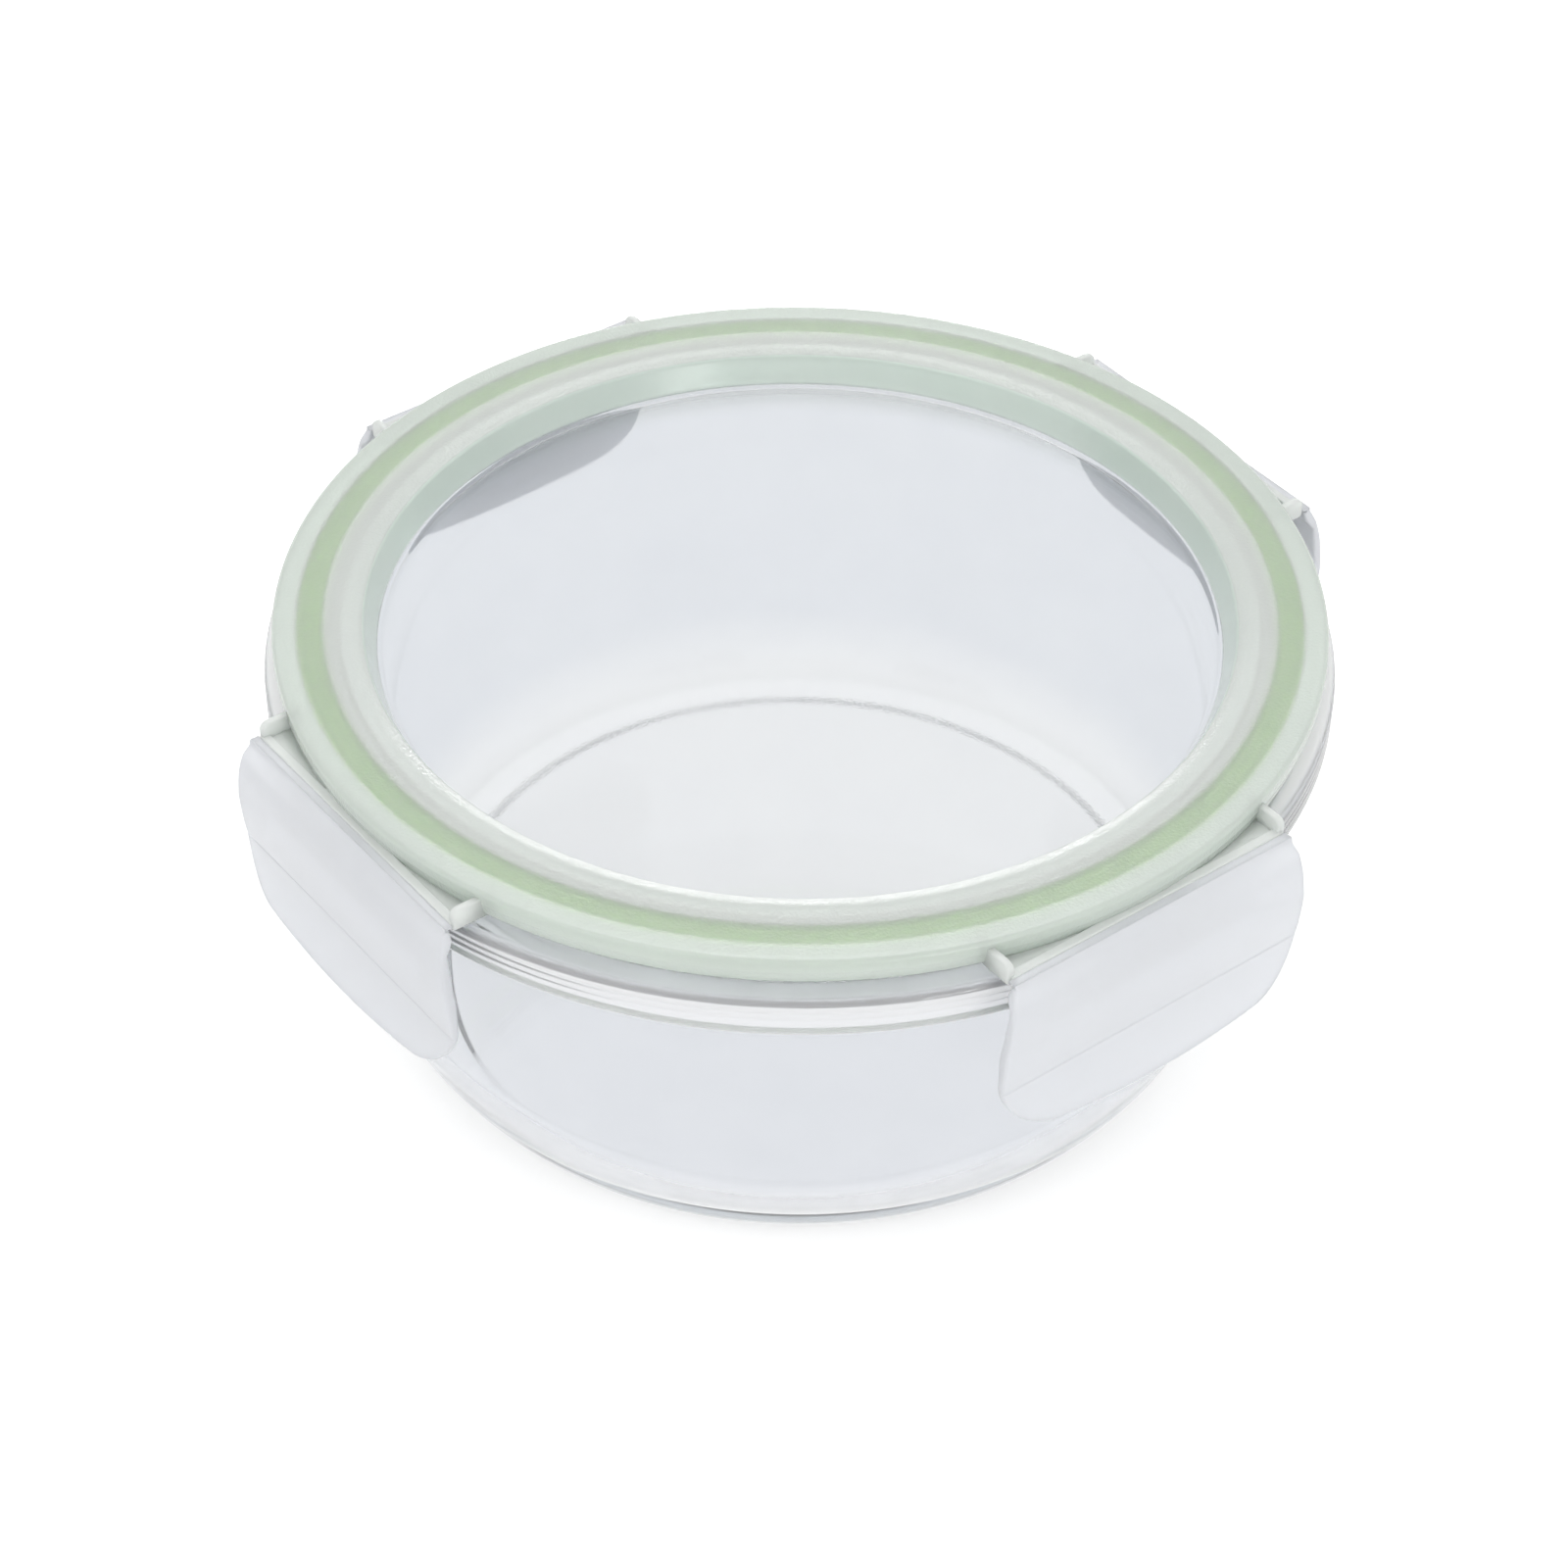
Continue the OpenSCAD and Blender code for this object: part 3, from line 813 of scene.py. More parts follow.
@dataclass
class Gasket:
    """The silicone ring with its ridges and sealing lips."""

    bowl: GlassBowl
    width: float = 5.8
    height: float = 2.0
    lip_h: float = 0.6
    ridges: int = 4
    ridge_share: float = 0.6
    seat_gap: float = 0.2
    root_r: float = 0.16
    lip_r: float = 0.3
    ridge_r: float = 0.25

    @property
    def low(self) -> float:
        """Height of the sealing lips' edge."""
        return self.bowl.rim_top + self.seat_gap

    @property
    def top(self) -> float:
        """Height of the ridges."""
        return self.low + self.height

    @property
    def inner(self) -> float:
        """Inner radius."""
        return self.bowl.rim_out - self.width

    def section(self) -> list[Point]:
        """Closed half section, anticlockwise from the inner lower corner."""
        under = self.low + self.lip_h
        over = self.top - self.lip_h
        soft = self.root_r
        pitch = self.width / self.ridges
        corners: list[Corner] = [(self.inner, under, soft)]
        quarter = self.bowl.rim_t / 4
        half_lip = self.bowl.rim_t / 6
        for x in (self.bowl.rim_in + quarter, self.bowl.rim_out - quarter):
            corners += [
                (x - half_lip, under, soft),
                (x - half_lip, self.low, self.lip_r),
                (x + half_lip, self.low, self.lip_r),
                (x + half_lip, under, soft),
            ]
        corners += [(self.bowl.rim_out, under, soft), (self.bowl.rim_out, over, soft)]
        for i in reversed(range(self.ridges)):
            mid = self.inner + (i + 0.5) * pitch
            half_ridge = pitch * self.ridge_share / 2
            corners += [
                (mid + half_ridge, over, soft),
                (mid + half_ridge, self.top, self.ridge_r),
                (mid - half_ridge, self.top, self.ridge_r),
                (mid - half_ridge, over, soft),
            ]
        corners.append((self.inner, over, soft))
        return rounded(corners, closed=True, steps=3)

    def build(self, finishes: Finishes) -> None:
        """Makes the ring and puts it in the frame."""
        ring = lathe("gasket_ring", self.section(), closed=True)
        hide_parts("gasket")
        dress(ring, "lid", "silicone", finishes.silicone)


@dataclass
class Lid:
    """The lid: frosted ring with shoulder and skirt, recess wall, clear panel and four hinge shelves."""

    bowl: GlassBowl
    gasket: Gasket
    gasket_gap: float = 0.1
    roof_t: float = 1.3
    skirt_gap: float = 1.7
    skirt_t: float = 1.5
    skirt_h: float = 4.4
    skirt_draft: float = 12.0
    skirt_land: float = 0.2
    shoulder_r: float = 2.0
    inner_rib_h: float = 3.2
    outer_rib_h: float = 1.2
    rib_t: float = 1.2
    recess_h: float = 5.9
    recess_draft: float = 20.0
    stack_gap: float = 1.0
    recess_wall_t: float = 1.4
    panel_t: float = 1.5
    recess_edge_r: float = 1.1
    panel_fillet_r: float = 1.4
    hinge_out: float = 1.1
    hinge_rise: float = 0.4
    hinge_w: float = 55.6
    groove_r: float = 0.8
    groove_floor: float = 0.3
    shelf_t: float = 1.6
    land_w: float = 2.0
    pocket_d: float = 0.6
    gusset_t: float = 1.4
    gusset_r: float = 3.4
    swing_gap: float = 0.15
    ease_w: float = 2.6
    ease_r: float = 8.5
    ease_steps: int = 6
    ease_share: float = 0.8
    wall_band: float = 0.7
    panel_flat: float = 6.0
    panel_under_r: float = 1.2
    roof_edge_r: float = 0.6
    rib_root_r: float = 0.4
    rib_edge_r: float = 0.3
    channel_r: float = 0.2
    skirt_in_r: float = 0.25
    skirt_edge_r: float = 0.35
    slope_r: float = 0.3
    shelf_bury: float = 0.3
    shelf_steps: int = 56
    shelf_edge_r: float = 0.25
    pocket_r: float = 0.2
    pocket_lean: float = 0.01
    least_w: float = 0.02
    gusset_bury: float = 1.0
    gusset_low_r: float = 0.4
    gusset_form: tuple[Point, ...] = (
        (0.0, 0.3), (0.08, 0.09), (0.22, 0.0), (0.78, 0.0), (0.92, 0.09), (1.0, 0.3),
    )

    @property
    def roof_z(self) -> float:
        """Height of the ring's underside."""
        return self.gasket.top + self.gasket_gap

    @property
    def top(self) -> float:
        """Height of the lid's top face."""
        return self.roof_z + self.roof_t

    @property
    def skirt_z(self) -> float:
        """Height of the skirt's lower edge."""
        return self.top - self.skirt_h

    @property
    def skirt_low(self) -> float:
        """Outer radius of the skirt's lower edge."""
        return self.bowl.rim_out + self.skirt_gap + self.skirt_t

    @property
    def skirt_slope_z(self) -> float:
        """Height at which the skirt's slope starts."""
        return self.top - self.shoulder_r - self.skirt_land

    @property
    def radius(self) -> float:
        """Widest radius of the lid."""
        return self.skirt_low + (self.skirt_slope_z - self.skirt_z) * math.tan(math.radians(self.skirt_draft))

    @property
    def panel_z(self) -> float:
        """Height of the panel's top face."""
        return self.top - self.recess_h

    @property
    def hinge_n(self) -> float:
        """Distance of the hinge lines from the axis."""
        return self.radius + self.hinge_out

    @property
    def hinge_z(self) -> float:
        """Height of the hinge lines."""
        return self.skirt_z + self.hinge_rise

    def section(self) -> list[Point]:
        """Half section from the axis under the panel, round the ring and back over the panel."""
        lean = math.tan(math.radians(self.recess_draft))
        wall = self.recess_wall_t / math.cos(math.radians(self.recess_draft))
        low_r = self.bowl.foot_r + self.stack_gap
        high_r = low_r + self.recess_h * lean
        bottom = self.panel_z - self.panel_t
        rib = self.gasket.inner - self.gasket_gap
        step = self.bowl.rim_out + self.gasket_gap
        skirt_in = self.bowl.rim_out + self.skirt_gap
        corners: list[Corner] = [
            (0.0, bottom, 0.0),
            (low_r - self.panel_flat, bottom, 0.0),
            (low_r + wall - self.panel_t * lean, bottom, self.panel_under_r),
            (high_r + wall - self.roof_t * lean, self.roof_z, self.roof_edge_r),
            (rib - self.rib_t, self.roof_z, self.rib_root_r),
            (rib - self.rib_t, self.roof_z - self.inner_rib_h, self.rib_edge_r),
            (rib, self.roof_z - self.inner_rib_h, self.rib_edge_r),
            (rib, self.roof_z, self.channel_r),
            (step, self.roof_z, self.channel_r),
            (step, self.roof_z - self.outer_rib_h, self.rib_edge_r),
            (skirt_in, self.roof_z - self.outer_rib_h, self.rib_edge_r),
            (skirt_in, self.skirt_z, self.skirt_in_r),
            (self.skirt_low, self.skirt_z, self.skirt_edge_r),
            (self.radius, self.skirt_slope_z, self.slope_r),
            (self.radius, self.top, self.shoulder_r),
            *self.eased_edge(high_r),
            (low_r, self.panel_z, self.panel_fillet_r),
            (low_r - self.panel_flat, self.panel_z, 0.0),
            (0.0, self.panel_z, 0.0),
        ]
        return rounded(corners, steps=8)

    def eased_edge(self, edge: float) -> list[Corner]:
        """Gentle fall of the ring's top towards its recess, and the recess's rounded edge.

        Args:
            edge: radius of the recess at the top.

        Returns:
            Corners, inwards.
        """
        start = edge + self.ease_w + self.recess_edge_r
        falls = [self.ease_w * i / self.ease_steps for i in range(self.ease_steps + 1)]
        curve = [(start - x, self.top - x * x / (2 * self.ease_r), 0.0) for x in falls]
        low = curve[-1][1] - self.recess_edge_r * self.ease_w / self.ease_r
        return [*curve, (edge, low, self.recess_edge_r * self.ease_share)]

    def skirt_face(self, z: float) -> float:
        """Outer radius of the skirt at a height."""
        share = (z - self.skirt_z) / (self.skirt_slope_z - self.skirt_z)
        return self.skirt_low + (self.radius - self.skirt_low) * min(max(share, 0.0), 1.0)

    def build_shell(self, finishes: Finishes) -> None:
        """Makes the turned lid: a frosted ring, a glossy recess wall and a clear panel."""
        shell = lathe("lid_shell", self.section(), turns=320)
        dress(shell, "lid", "lid_plastic", finishes.frost, finishes.wall, finishes.panel)
        foot = self.bowl.foot_r + self.stack_gap
        ring = self.gasket.inner - self.gasket_gap - self.rib_t
        for polygon in shell.data.polygons:
            middle = polygon.center
            r = math.hypot(middle.x, middle.y) / MM
            z = middle.z / MM
            if r > ring - self.wall_band or z > self.top - self.wall_band:
                polygon.material_index = 0
            elif r > foot - self.wall_band and z > self.panel_z + self.wall_band:
                polygon.material_index = 1
            else:
                polygon.material_index = 2
        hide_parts("lid")

    def build_shelf(self, side: Side, finishes: Finishes) -> None:
        """Makes one hinge shelf: a land along the hinge line and a pocket behind it at each end.

        Args:
            side: the latch that it carries.
            finishes: the finishes.
        """
        half = self.hinge_w / 2 - self.gusset_t / 2
        low = self.hinge_z - self.groove_r - self.groove_floor
        end = self.hinge_n - self.groove_r / 2
        land_top = low + self.shelf_t
        floor = land_top - self.pocket_d
        sections: list[list[Spot]] = []
        for i in range(self.shelf_steps + 1):
            s = -half + 2 * half * i / self.shelf_steps
            foot = math.sqrt((self.skirt_face(low) - self.shelf_bury) ** 2 - s * s)
            land = max(self.hinge_n - self.land_w, foot + self.least_w)
            corners: list[Corner] = [
                (foot, low, 0.0),
                (end, low, self.shelf_edge_r),
                (end, land_top, self.shelf_edge_r),
                (land, land_top, self.pocket_r),
                (land - self.pocket_lean, floor, self.pocket_r),
                (foot - self.least_w, floor, 0.0),
            ]
            sections.append([side.spot(n, s, z) for n, z in rounded(corners, closed=True, steps=3)])
        shelf = loft(f"hinge_shelf_{side.word}", sections)
        dress(shelf, "lid", "lid_plastic", finishes.shelf)

    def build_gusset(self, side: Side, hand: int, finishes: Finishes) -> None:
        """Makes the rounded wall at one end of a hinge shelf.

        Args:
            side: the latch whose shelf it closes.
            hand: -1 or 1, the end of the shelf.
            finishes: the finishes.
        """
        low = self.hinge_z - self.groove_r - self.groove_floor
        high = self.top - self.shoulder_r * 2 / 3
        end = self.hinge_n - self.hinge_out / 2 - self.swing_gap
        half = self.hinge_w / 2
        sections: list[list[Spot]] = []
        for share, inset in self.gusset_form:
            s = hand * (half - self.gusset_t * (1 - share))
            root = math.sqrt((self.skirt_face(low) - self.gusset_bury) ** 2 - s * s) - self.gusset_bury
            corners: list[Corner] = [
                (root, low + inset, 0.0),
                (end - inset, low + inset, self.gusset_low_r),
                (end - inset, high - inset, self.gusset_r),
                (root, high - inset, 0.0),
            ]
            sections.append([side.spot(n, s, z) for n, z in rounded(corners, closed=True, steps=10)])
        word = "low" if hand < 0 else "high"
        gusset = loft(f"hinge_gusset_{side.word}_{word}", sections)
        dress(gusset, "lid", "lid_plastic", finishes.shelf)

    def build(self, finishes: Finishes) -> None:
        """Makes the lid and puts it in the frame."""
        self.build_shell(finishes)
        for side in Side:
            self.build_shelf(side, finishes)
            for hand in (-1, 1):
                self.build_gusset(side, hand, finishes)


@dataclass
class Latch:
    """One snap latch: a bulged flap with a hook, a fine line at its waist and a finger lip."""

    bowl: GlassBowl
    lid: Lid
    side: Side
    latch_side: float = 1.0
    lip_flare: float = 1.5
    latch_h: float = 30.8
    latch_t: float = 1.8
    lip_t: float = 1.3
    bulge_gap: float = 0.7
    waist_gap: float = 0.4
    bulge_drop: float = 9.0
    waist_drop: float = 20.0
    waist_line: float = 0.5
    lip_out: float = 2.6
    corner_r: float = 11.5
    bow_r: float = 180.0
    hook_reach: float = 1.6
    hook_h: float = 3.6
    hook_w: float = 44.0
    hook_gap: float = 0.45
    neck_gap: float = 0.6
    ear_drop: float = 3.0
    edge_r: float = 0.55
    start_t: float = 0.25
    start_rise: float = 0.1
    bulge_cross: float = 0.1
    hook_end: float = 0.25
    hook_root: float = 0.15
    hook_step: float = 0.02
    hook_edge: float = 0.2
    hook_over: float = 0.5
    hook_face: float = 0.8
    hook_under: float = 1.0
    edge_share: float = 0.45
    waist_soft: float = 0.2
    waist_edge: float = 0.02
    neck_rows: tuple[float, ...] = (0.2, 0.4, 0.55, 0.68, 0.76, 1.2, 1.7, 2.6, 3.5)
    bulge_step: float = 0.7
    bulge_stop: float = 1.2
    corner_steps: int = 24
    corner_turn: float = 3.62
    least_row: float = 0.05
    bow_steps: int = 20
    end_columns: tuple[float, ...] = (0.0, 0.03, 0.09, 0.18, 0.3, 0.44, 0.65)
    mid_columns: int = 13

    def __post_init__(self) -> None:
        """Works out the outline and the arcs of the section."""
        lid, bowl = self.lid, self.bowl
        flange_top = bowl.flange_z + bowl.flange_h
        self.bulge_out = bowl.flange_r + self.bulge_gap + self.latch_t - lid.hinge_n
        self.waist_out = bowl.flange_r + self.waist_gap + self.lip_t - lid.hinge_n
        self.hook_in = bowl.flange_r - self.hook_reach - lid.hinge_n
        self.hook_top = bowl.flange_z - self.hook_gap - lid.hinge_z
        self.neck_drop = lid.hinge_z - flange_top - self.neck_gap
        self.edge_drop = lid.hinge_z - flange_top + bowl.flange_edge_r
        run = self.bulge_out + self.bulge_cross - lid.groove_r - self.start_t
        rise = self.start_rise + self.bulge_drop
        self.top_r = (run * run + rise * rise) / (2 * run)
        run, drop = self.bulge_out - self.waist_out, self.waist_drop - self.bulge_drop
        self.low_r = (run * run + drop * drop) / (2 * run)
        drop = self.latch_h - self.waist_drop
        self.lip_r = (self.lip_out**2 + drop**2) / (2 * self.lip_out)
        self.half = lid.hinge_w / 2 + self.latch_side
        self.lip_half = self.half + self.lip_flare
        self.corner_s = self.lip_half - self.corner_r
        self.bow_z = self.bow_r - self.latch_h
        reach = self.bow_r - self.corner_r
        self.corner_z = self.bow_z - math.sqrt(reach * reach - self.corner_s**2)
        self.flare_z = self.corner_z / 2 - self.ear_drop
        self.meet_s = self.corner_s * self.bow_r / reach
        self.meet_z = self.bow_z - math.sqrt(self.bow_r**2 - self.meet_s**2)
        hook_half = self.width(self.hook_top - self.hook_h / 2)
        self.hook_share = (self.hook_w / 2 - self.hook_end) / hook_half
        self.hook_end_share = (self.hook_w / 2 + self.hook_end) / hook_half

    def outer(self, w: float) -> float:
        """Outside face: distance out from the hinge line at a height w from it."""
        low = self.bulge_out - self.low_r + math.sqrt(self.low_r**2 - (w + self.bulge_drop) ** 2)
        if w > -self.bulge_drop:
            over = self.top_r**2 - (w + self.bulge_drop) ** 2
            return min(low, self.bulge_out + self.bulge_cross - self.top_r + math.sqrt(max(over, 0.0)))
        if w > -self.waist_drop:
            return low
        lip = self.waist_out + self.lip_r - math.sqrt(self.lip_r**2 - (w + self.waist_drop) ** 2)
        return min(low, lip) if w > -self.waist_drop - self.waist_line else lip

    def inner(self, w: float, hooked: bool) -> float:
        """Inside face of the flap.

        Args:
            w: height from the hinge line, mm.
            hooked: whether the place lies within the hook's length.

        Returns:
            Distance out from the hinge line, mm.
        """
        groove = self.lid.groove_r
        bulge_in, waist_in = self.bulge_out - self.latch_t, self.waist_out - self.lip_t
        if w > -groove:
            return math.sqrt(groove * groove - w * w)
        marks: list[Point] = [(-groove, 0.0), (-self.neck_drop, 0.0), (-self.edge_drop, bulge_in)]
        if hooked:
            marks += [
                (self.hook_top + self.hook_root, bulge_in),
                (self.hook_top, bulge_in - self.hook_root),
                (self.hook_top - self.hook_step, self.hook_in + self.hook_edge),
                (self.hook_top - self.hook_edge, self.hook_in),
                (self.hook_top - self.hook_h / 2, self.hook_in),
            ]
        else:
            marks.append((self.hook_top, bulge_in))
        marks += [(self.hook_top - self.hook_h, waist_in), (-self.waist_drop, waist_in)]
        for (w0, u0), (w1, u1) in zip(marks, marks[1:]):
            if w >= w1:
                return u0 + (u1 - u0) * (w - w0) / (w1 - w0)
        big = self.lip_r + self.lip_t
        return self.waist_out + self.lip_r - math.sqrt(big * big - (w + self.waist_drop) ** 2)

    def width(self, w: float) -> float:
        """Half width of the outline at a height w from the hinge line."""
        groove, hinge = self.lid.groove_r, self.lid.hinge_w / 2
        if w > -groove:
            return hinge
        if w > -self.ear_drop:
            return hinge + (self.half - hinge) * (-groove - w) / (self.ear_drop - groove)
        if w > self.flare_z:
            share = (-self.ear_drop - w) / (-self.ear_drop - self.flare_z)
            return self.half + self.lip_flare * share
        if w > self.corner_z:
            return self.lip_half
        if w > self.meet_z:
            return self.corner_s + math.sqrt(self.corner_r**2 - (w - self.corner_z) ** 2)
        return math.sqrt(max(self.bow_r**2 - (w - self.bow_z) ** 2, 0.0))

    def margin(self, s: float, w: float) -> float:
        """Distance of a point of the outline from its sides and lower edge."""
        s = abs(s)
        bow = self.bow_r - math.hypot(s, w - self.bow_z)
        if w > self.corner_z:
            return min(self.width(w) - s, bow)
        if s > self.corner_s:
            return min(self.corner_r - math.hypot(s - self.corner_s, w - self.corner_z), bow)
        return bow

    def heights(self) -> list[float]:
        """Rows of the flap, from the hinge line down to the lowest point of the bowed edge."""
        rows = [self.start_rise, 0.0, -self.lid.groove_r, -self.neck_drop, -self.ear_drop, -self.edge_drop]
        rows += [-drop for drop in self.neck_rows]
        step = -self.edge_drop
        while step > self.hook_top + self.bulge_stop:
            step -= self.bulge_step
            rows.append(step)
        hook, under = self.hook_top, self.hook_top - self.hook_h
        rows += [hook + self.hook_over, hook + self.hook_root, hook, hook - self.hook_step]
        rows += [hook - self.hook_edge, hook - self.hook_face, hook - self.hook_h / 2]
        rows += [hook - self.hook_h * 0.75, under, under - self.hook_under]
        rows += [(under - self.hook_under + self.corner_z) / 2, self.corner_z]
        for i in range(1, self.corner_steps + 1):
            turn = math.radians(i * self.corner_turn)
            rows.append(self.corner_z - self.corner_r * math.sin(turn))
        line, end = -self.waist_drop, -self.waist_drop - self.waist_line
        middle = (line + end) / 2
        rows = [w for w in rows if w > self.meet_z + self.least_row and abs(w - middle) > self.waist_line]
        rows += [line + self.waist_soft, line + self.waist_edge]
        rows += [end + self.waist_edge, end - self.waist_edge, end - self.waist_soft]
        for i in range(self.bow_steps + 1):
            s = self.meet_s * (1 - (i / self.bow_steps))
            rows.append(self.bow_z - math.sqrt(self.bow_r**2 - s * s))
        return sorted(set(rows), reverse=True)

    def columns(self, half: float) -> list[float]:
        """Places across a row, closest near its ends."""
        shares = [1 - end / self.lip_half for end in self.end_columns]
        inner = [shares[-1] * (1 - k / self.mid_columns) for k in range(1, self.mid_columns)]
        right = sorted(shares + inner + [self.hook_share, self.hook_end_share], reverse=True)
        return [-half * share for share in right] + [0.0] + [half * share for share in right[::-1]]

    def build(self, finishes: Finishes) -> None:
        """Makes the flap and puts it in the frame."""
        rows = self.heights()
        grid = [[(s, w) for s in self.columns(self.width(w))] for w in rows]
        across = len(grid[0])
        verts: list[Spot] = []
        for face in (1, -1):
            for row in grid:
                for s, w in row:
                    hooked = abs(s) <= self.width(w) * (self.hook_share + TINY)
                    out, back = self.outer(w), self.inner(w, hooked)
                    soft = min(self.edge_r, self.edge_share * (out - back))
                    near = max(soft - max(self.margin(s, w), 0.0), 0.0)
                    fall = soft - math.sqrt(soft * soft - near * near)
                    u = out - fall if face > 0 else back + fall
                    verts.append(self.side.spot(self.lid.hinge_n + u, s, self.lid.hinge_z + w))
        count = len(rows) * across
        faces: list[tuple[int, ...]] = []
        for i in range(len(rows) - 1):
            for k in range(across - 1):
                a, b = i * across + k, (i + 1) * across + k
                faces.append((a, a + 1, b + 1, b))
                faces.append((count + a, count + b, count + b + 1, count + a + 1))
            for k in (0, across - 1):
                a, b = i * across + k, (i + 1) * across + k
                faces.append((a, b, count + b, count + a))
        for k in range(across - 1):
            faces.append((k, k + 1, count + k + 1, count + k))
            low = (len(rows) - 1) * across + k
            faces.append((low, low + 1, count + low + 1, count + low))
        flap = make_object(f"snap_latch_{self.side.word}", verts, faces)
        node = f"latch_{self.side.word}"
        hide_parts(node)
        dress(flap, node, "latch_plastic", finishes.latch)


@dataclass
class FilmHinge:
    """The thin web that bends between the lid and one latch."""

    lid: Lid
    side: Side
    film_t: float = 0.5
    film_gap: float = 0.05
    bury: float = 0.05
    front_gap: float = 0.02
    rise: float = 0.12
    waist: float = 0.06
    bend_start: float = -0.3
    bend_end: float = 0.7
    steps: int = 10
    length_steps: int = 28

    def build(self, finishes: Finishes) -> None:
        """Makes the web in its resting place."""
        lid = self.lid
        half = lid.hinge_w / 2 - self.film_gap
        back, front = -lid.groove_r / 2 - self.bury, lid.groove_r - self.front_gap
        low = -self.film_t / 2 - self.bury
        over: list[Point] = []
        under: list[Point] = []
        for i in range(self.steps + 1):
            u = back + (front - back) * i / self.steps
            waist = self.waist * math.sin(math.pi * i / self.steps)
            over.append((u, self.rise - waist))
            under.append((u, low + waist))
        line = over + under[::-1]
        sections: list[list[Spot]] = []
        for k in range(self.length_steps + 1):
            s = -half + 2 * half * k / self.length_steps
            sections.append([self.side.spot(lid.hinge_n + u, s, lid.hinge_z + w) for u, w in line])
        web = loft(f"hinge_web_{self.side.word}", sections)
        web.data.materials.append(finishes.latch)
        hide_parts(f"hinge_film_{self.side.word}")
        start = self.side.spot(lid.hinge_n + self.bend_start, 0.0, lid.hinge_z)
        end = self.side.spot(lid.hinge_n + self.bend_end, 0.0, lid.hinge_z)
        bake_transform(web)
        LOG.info("%s: %d faces, bends from lid to latch", web.name, len(web.data.polygons))


# Studio


def outward(azimuth: float, elevation: float) -> Vector:
    """Direction from the container towards a viewer or lamp.

    Args:
        azimuth: turn about the upright axis, degrees; nought looks along +Y.
        elevation: height over the table, degrees.

    Returns:
        The direction, of length one.
    """
    a, e = math.radians(azimuth), math.radians(elevation)
    return Vector((math.sin(a) * math.cos(e), -math.cos(a) * math.cos(e), math.sin(e)))


@dataclass(frozen=True)
class Softbox:
    """A soft rectangular lamp."""

    name: str
    azimuth: float
    elevation: float
    distance: float
    width: float
    height: float
    power: float
    aim: Spot = (0.0, 0.0, 0.04)

    def build(self) -> None:
        """Makes the lamp, turned to the container."""
        light = bpy.data.lights.new(self.name, "AREA")
        light.shape = "RECTANGLE"
        light.size = self.width
        light.size_y = self.height
        light.energy = self.power
        lamp = bpy.data.objects.new(self.name, light)
        bpy.context.scene.collection.objects.link(lamp)
        back = outward(self.azimuth, self.elevation)
        lamp.location = back * self.distance + Vector(self.aim)
        lamp.rotation_euler = (-back).to_track_quat("-Z", "Y").to_euler()
        lamp.visible_camera = False
        lamp.visible_transmission = False


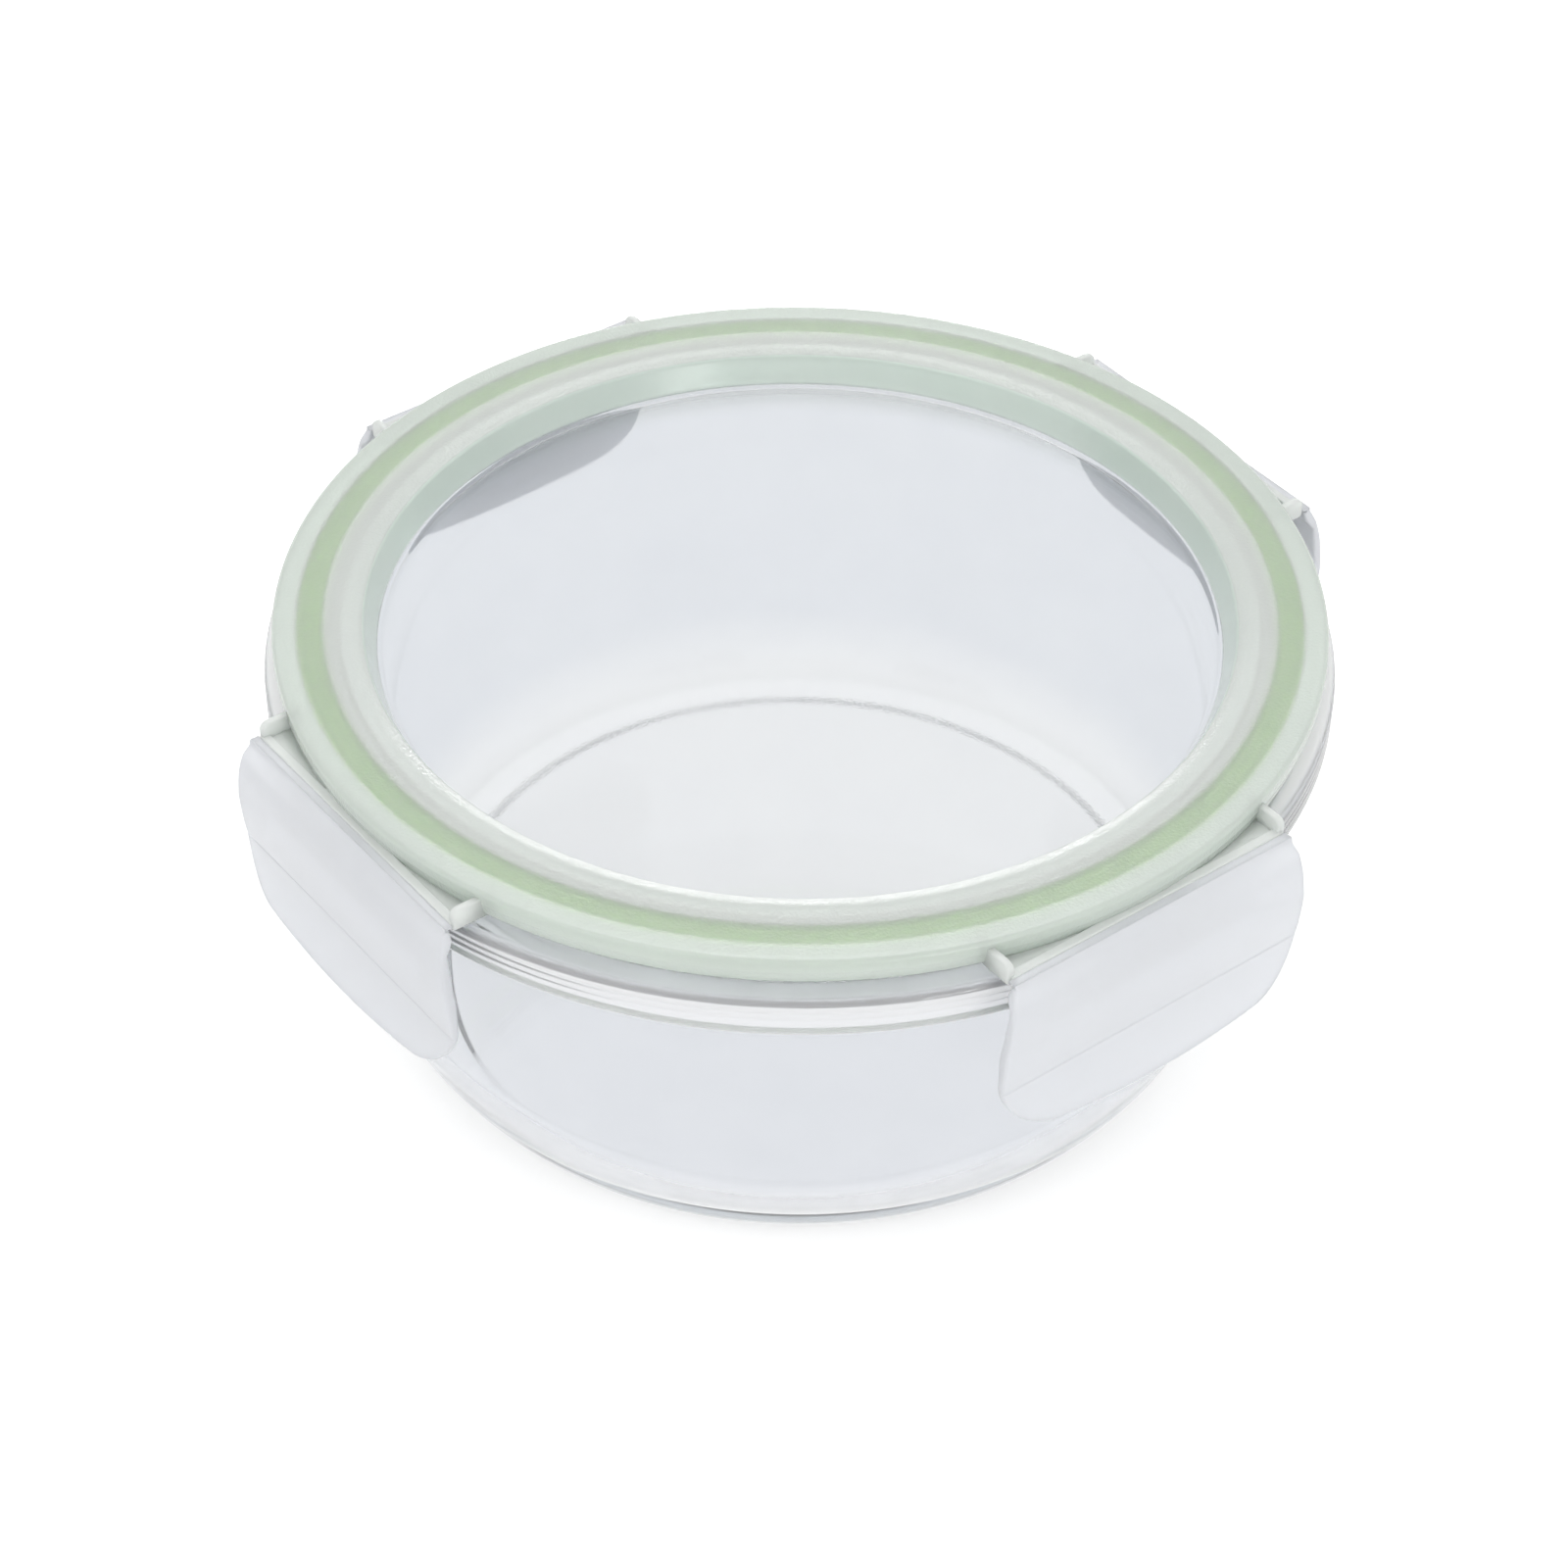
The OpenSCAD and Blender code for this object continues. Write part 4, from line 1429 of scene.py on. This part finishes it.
@dataclass
class Studio:
    """White studio: table, backdrop and soft lamps."""

    table_side: float = 12.0
    bounces: int = 20
    sky: float = 1.0
    lamps: list[Softbox] = field(
        default_factory=lambda: [
            Softbox("back_softbox", 142.0, 56.0, 1.2, 0.5, 0.3, 1.3),
            Softbox("front_softbox", -75.0, 52.0, 1.2, 0.4, 0.5, 0.8),
            Softbox("low_softbox", 142.0, 17.0, 1.2, 0.34, 0.05, 0.8),
            Softbox("front_strip", -10.0, 6.0, 1.2, 0.24, 0.12, 1.2),
        ]
    )

    def build_table(self, finishes: Finishes) -> None:
        """Makes the table top."""
        half = self.table_side / 2
        table = make_object(
            "studio_floor",
            [(-half, -half, 0.0), (half, -half, 0.0), (half, half, 0.0), (-half, half, 0.0)],
            [(0, 1, 2, 3)],
        )
        table.data.materials.append(finishes.table)

    def build_backdrop(self) -> None:
        """Makes the plain white surround."""
        world = bpy.data.worlds.new("white_surround")
        bpy.context.scene.world = world
        world.use_nodes = True
        tree = world.node_tree
        tree.nodes.clear()
        light = tree.nodes.new("ShaderNodeBackground")
        light.inputs["Color"].default_value = WHITE
        light.inputs["Strength"].default_value = self.sky
        out = tree.nodes.new("ShaderNodeOutputWorld")
        tree.links.new(light.outputs["Background"], out.inputs["Surface"])

    def build(self, finishes: Finishes) -> None:
        """Makes the studio."""
        self.build_table(finishes)
        self.build_backdrop()
        for lamp in self.lamps:
            lamp.build()
        scene = bpy.context.scene
        scene.view_settings.view_transform = "Standard"
        scene.cycles.max_bounces = self.bounces
        scene.cycles.transmission_bounces = self.bounces
        scene.cycles.glossy_bounces = self.bounces
        scene.cycles.diffuse_bounces = self.bounces // 2
        LOG.info("studio: table, surround and %d lamps", len(self.lamps))


@dataclass(frozen=True)
class PhotoCamera:
    """The photograph's camera, fitted to the container's circles."""

    focal_px: float = 3939.0
    distance: float = 0.65944
    azimuth: float = -37.92
    elevation: float = 40.88
    roll: float = 0.731
    aim_x: float = 814.39
    aim_y: float = 805.19
    target: Spot = (0.0, 0.0, 0.035)
    sensor: float = 36.0
    clip: Span = (0.01, 50.0)

    def build(self) -> None:
        """Makes the camera and sets it."""
        back = outward(self.azimuth, self.elevation)
        a = math.radians(self.azimuth)
        right = Vector((math.cos(a), math.sin(a), 0.0))
        up = back.cross(right)
        centre = IMAGE_SIDE / 2
        across, rise = (centre - self.aim_x) / self.focal_px, (self.aim_y - centre) / self.focal_px
        ahead = (-back + right * across + up * rise).normalized()
        right = (right - ahead * right.dot(ahead)).normalized()
        up = right.cross(ahead)
        turn = math.radians(self.roll)
        level = right * math.cos(turn) + up * math.sin(turn)
        up = up * math.cos(turn) - right * math.sin(turn)
        data = bpy.data.cameras.new("photo_camera")
        data.sensor_width = self.sensor
        data.lens = self.focal_px * self.sensor / IMAGE_SIDE
        data.clip_start, data.clip_end = self.clip
        camera = bpy.data.objects.new("photo_camera", data)
        bpy.context.scene.collection.objects.link(camera)
        turned = Matrix((level, up, -ahead)).transposed().to_4x4()
        turned.translation = Vector(self.target) + back * self.distance
        camera.matrix_world = turned
        bpy.context.scene.camera = camera


def main() -> None:
    """Builds the container's pieces in order, then the studio."""
    logging.basicConfig(level=logging.INFO, format="%(name)s: %(message)s")
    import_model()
    finishes = Finishes()
    PhotoCamera().build()
    bowl = GlassBowl()
    gasket = Gasket(bowl)
    lid = Lid(bowl, gasket)
    steps: list[Callable[[Finishes], None]] = [bowl.build, gasket.build, lid.build]
    for side in Side:
        steps.append(Latch(bowl, lid, side).build)
        steps.append(FilmHinge(lid, side).build)
    steps.append(Studio().build)
    for step in steps:
        step(finishes)


if __name__ == "__main__":
    main()
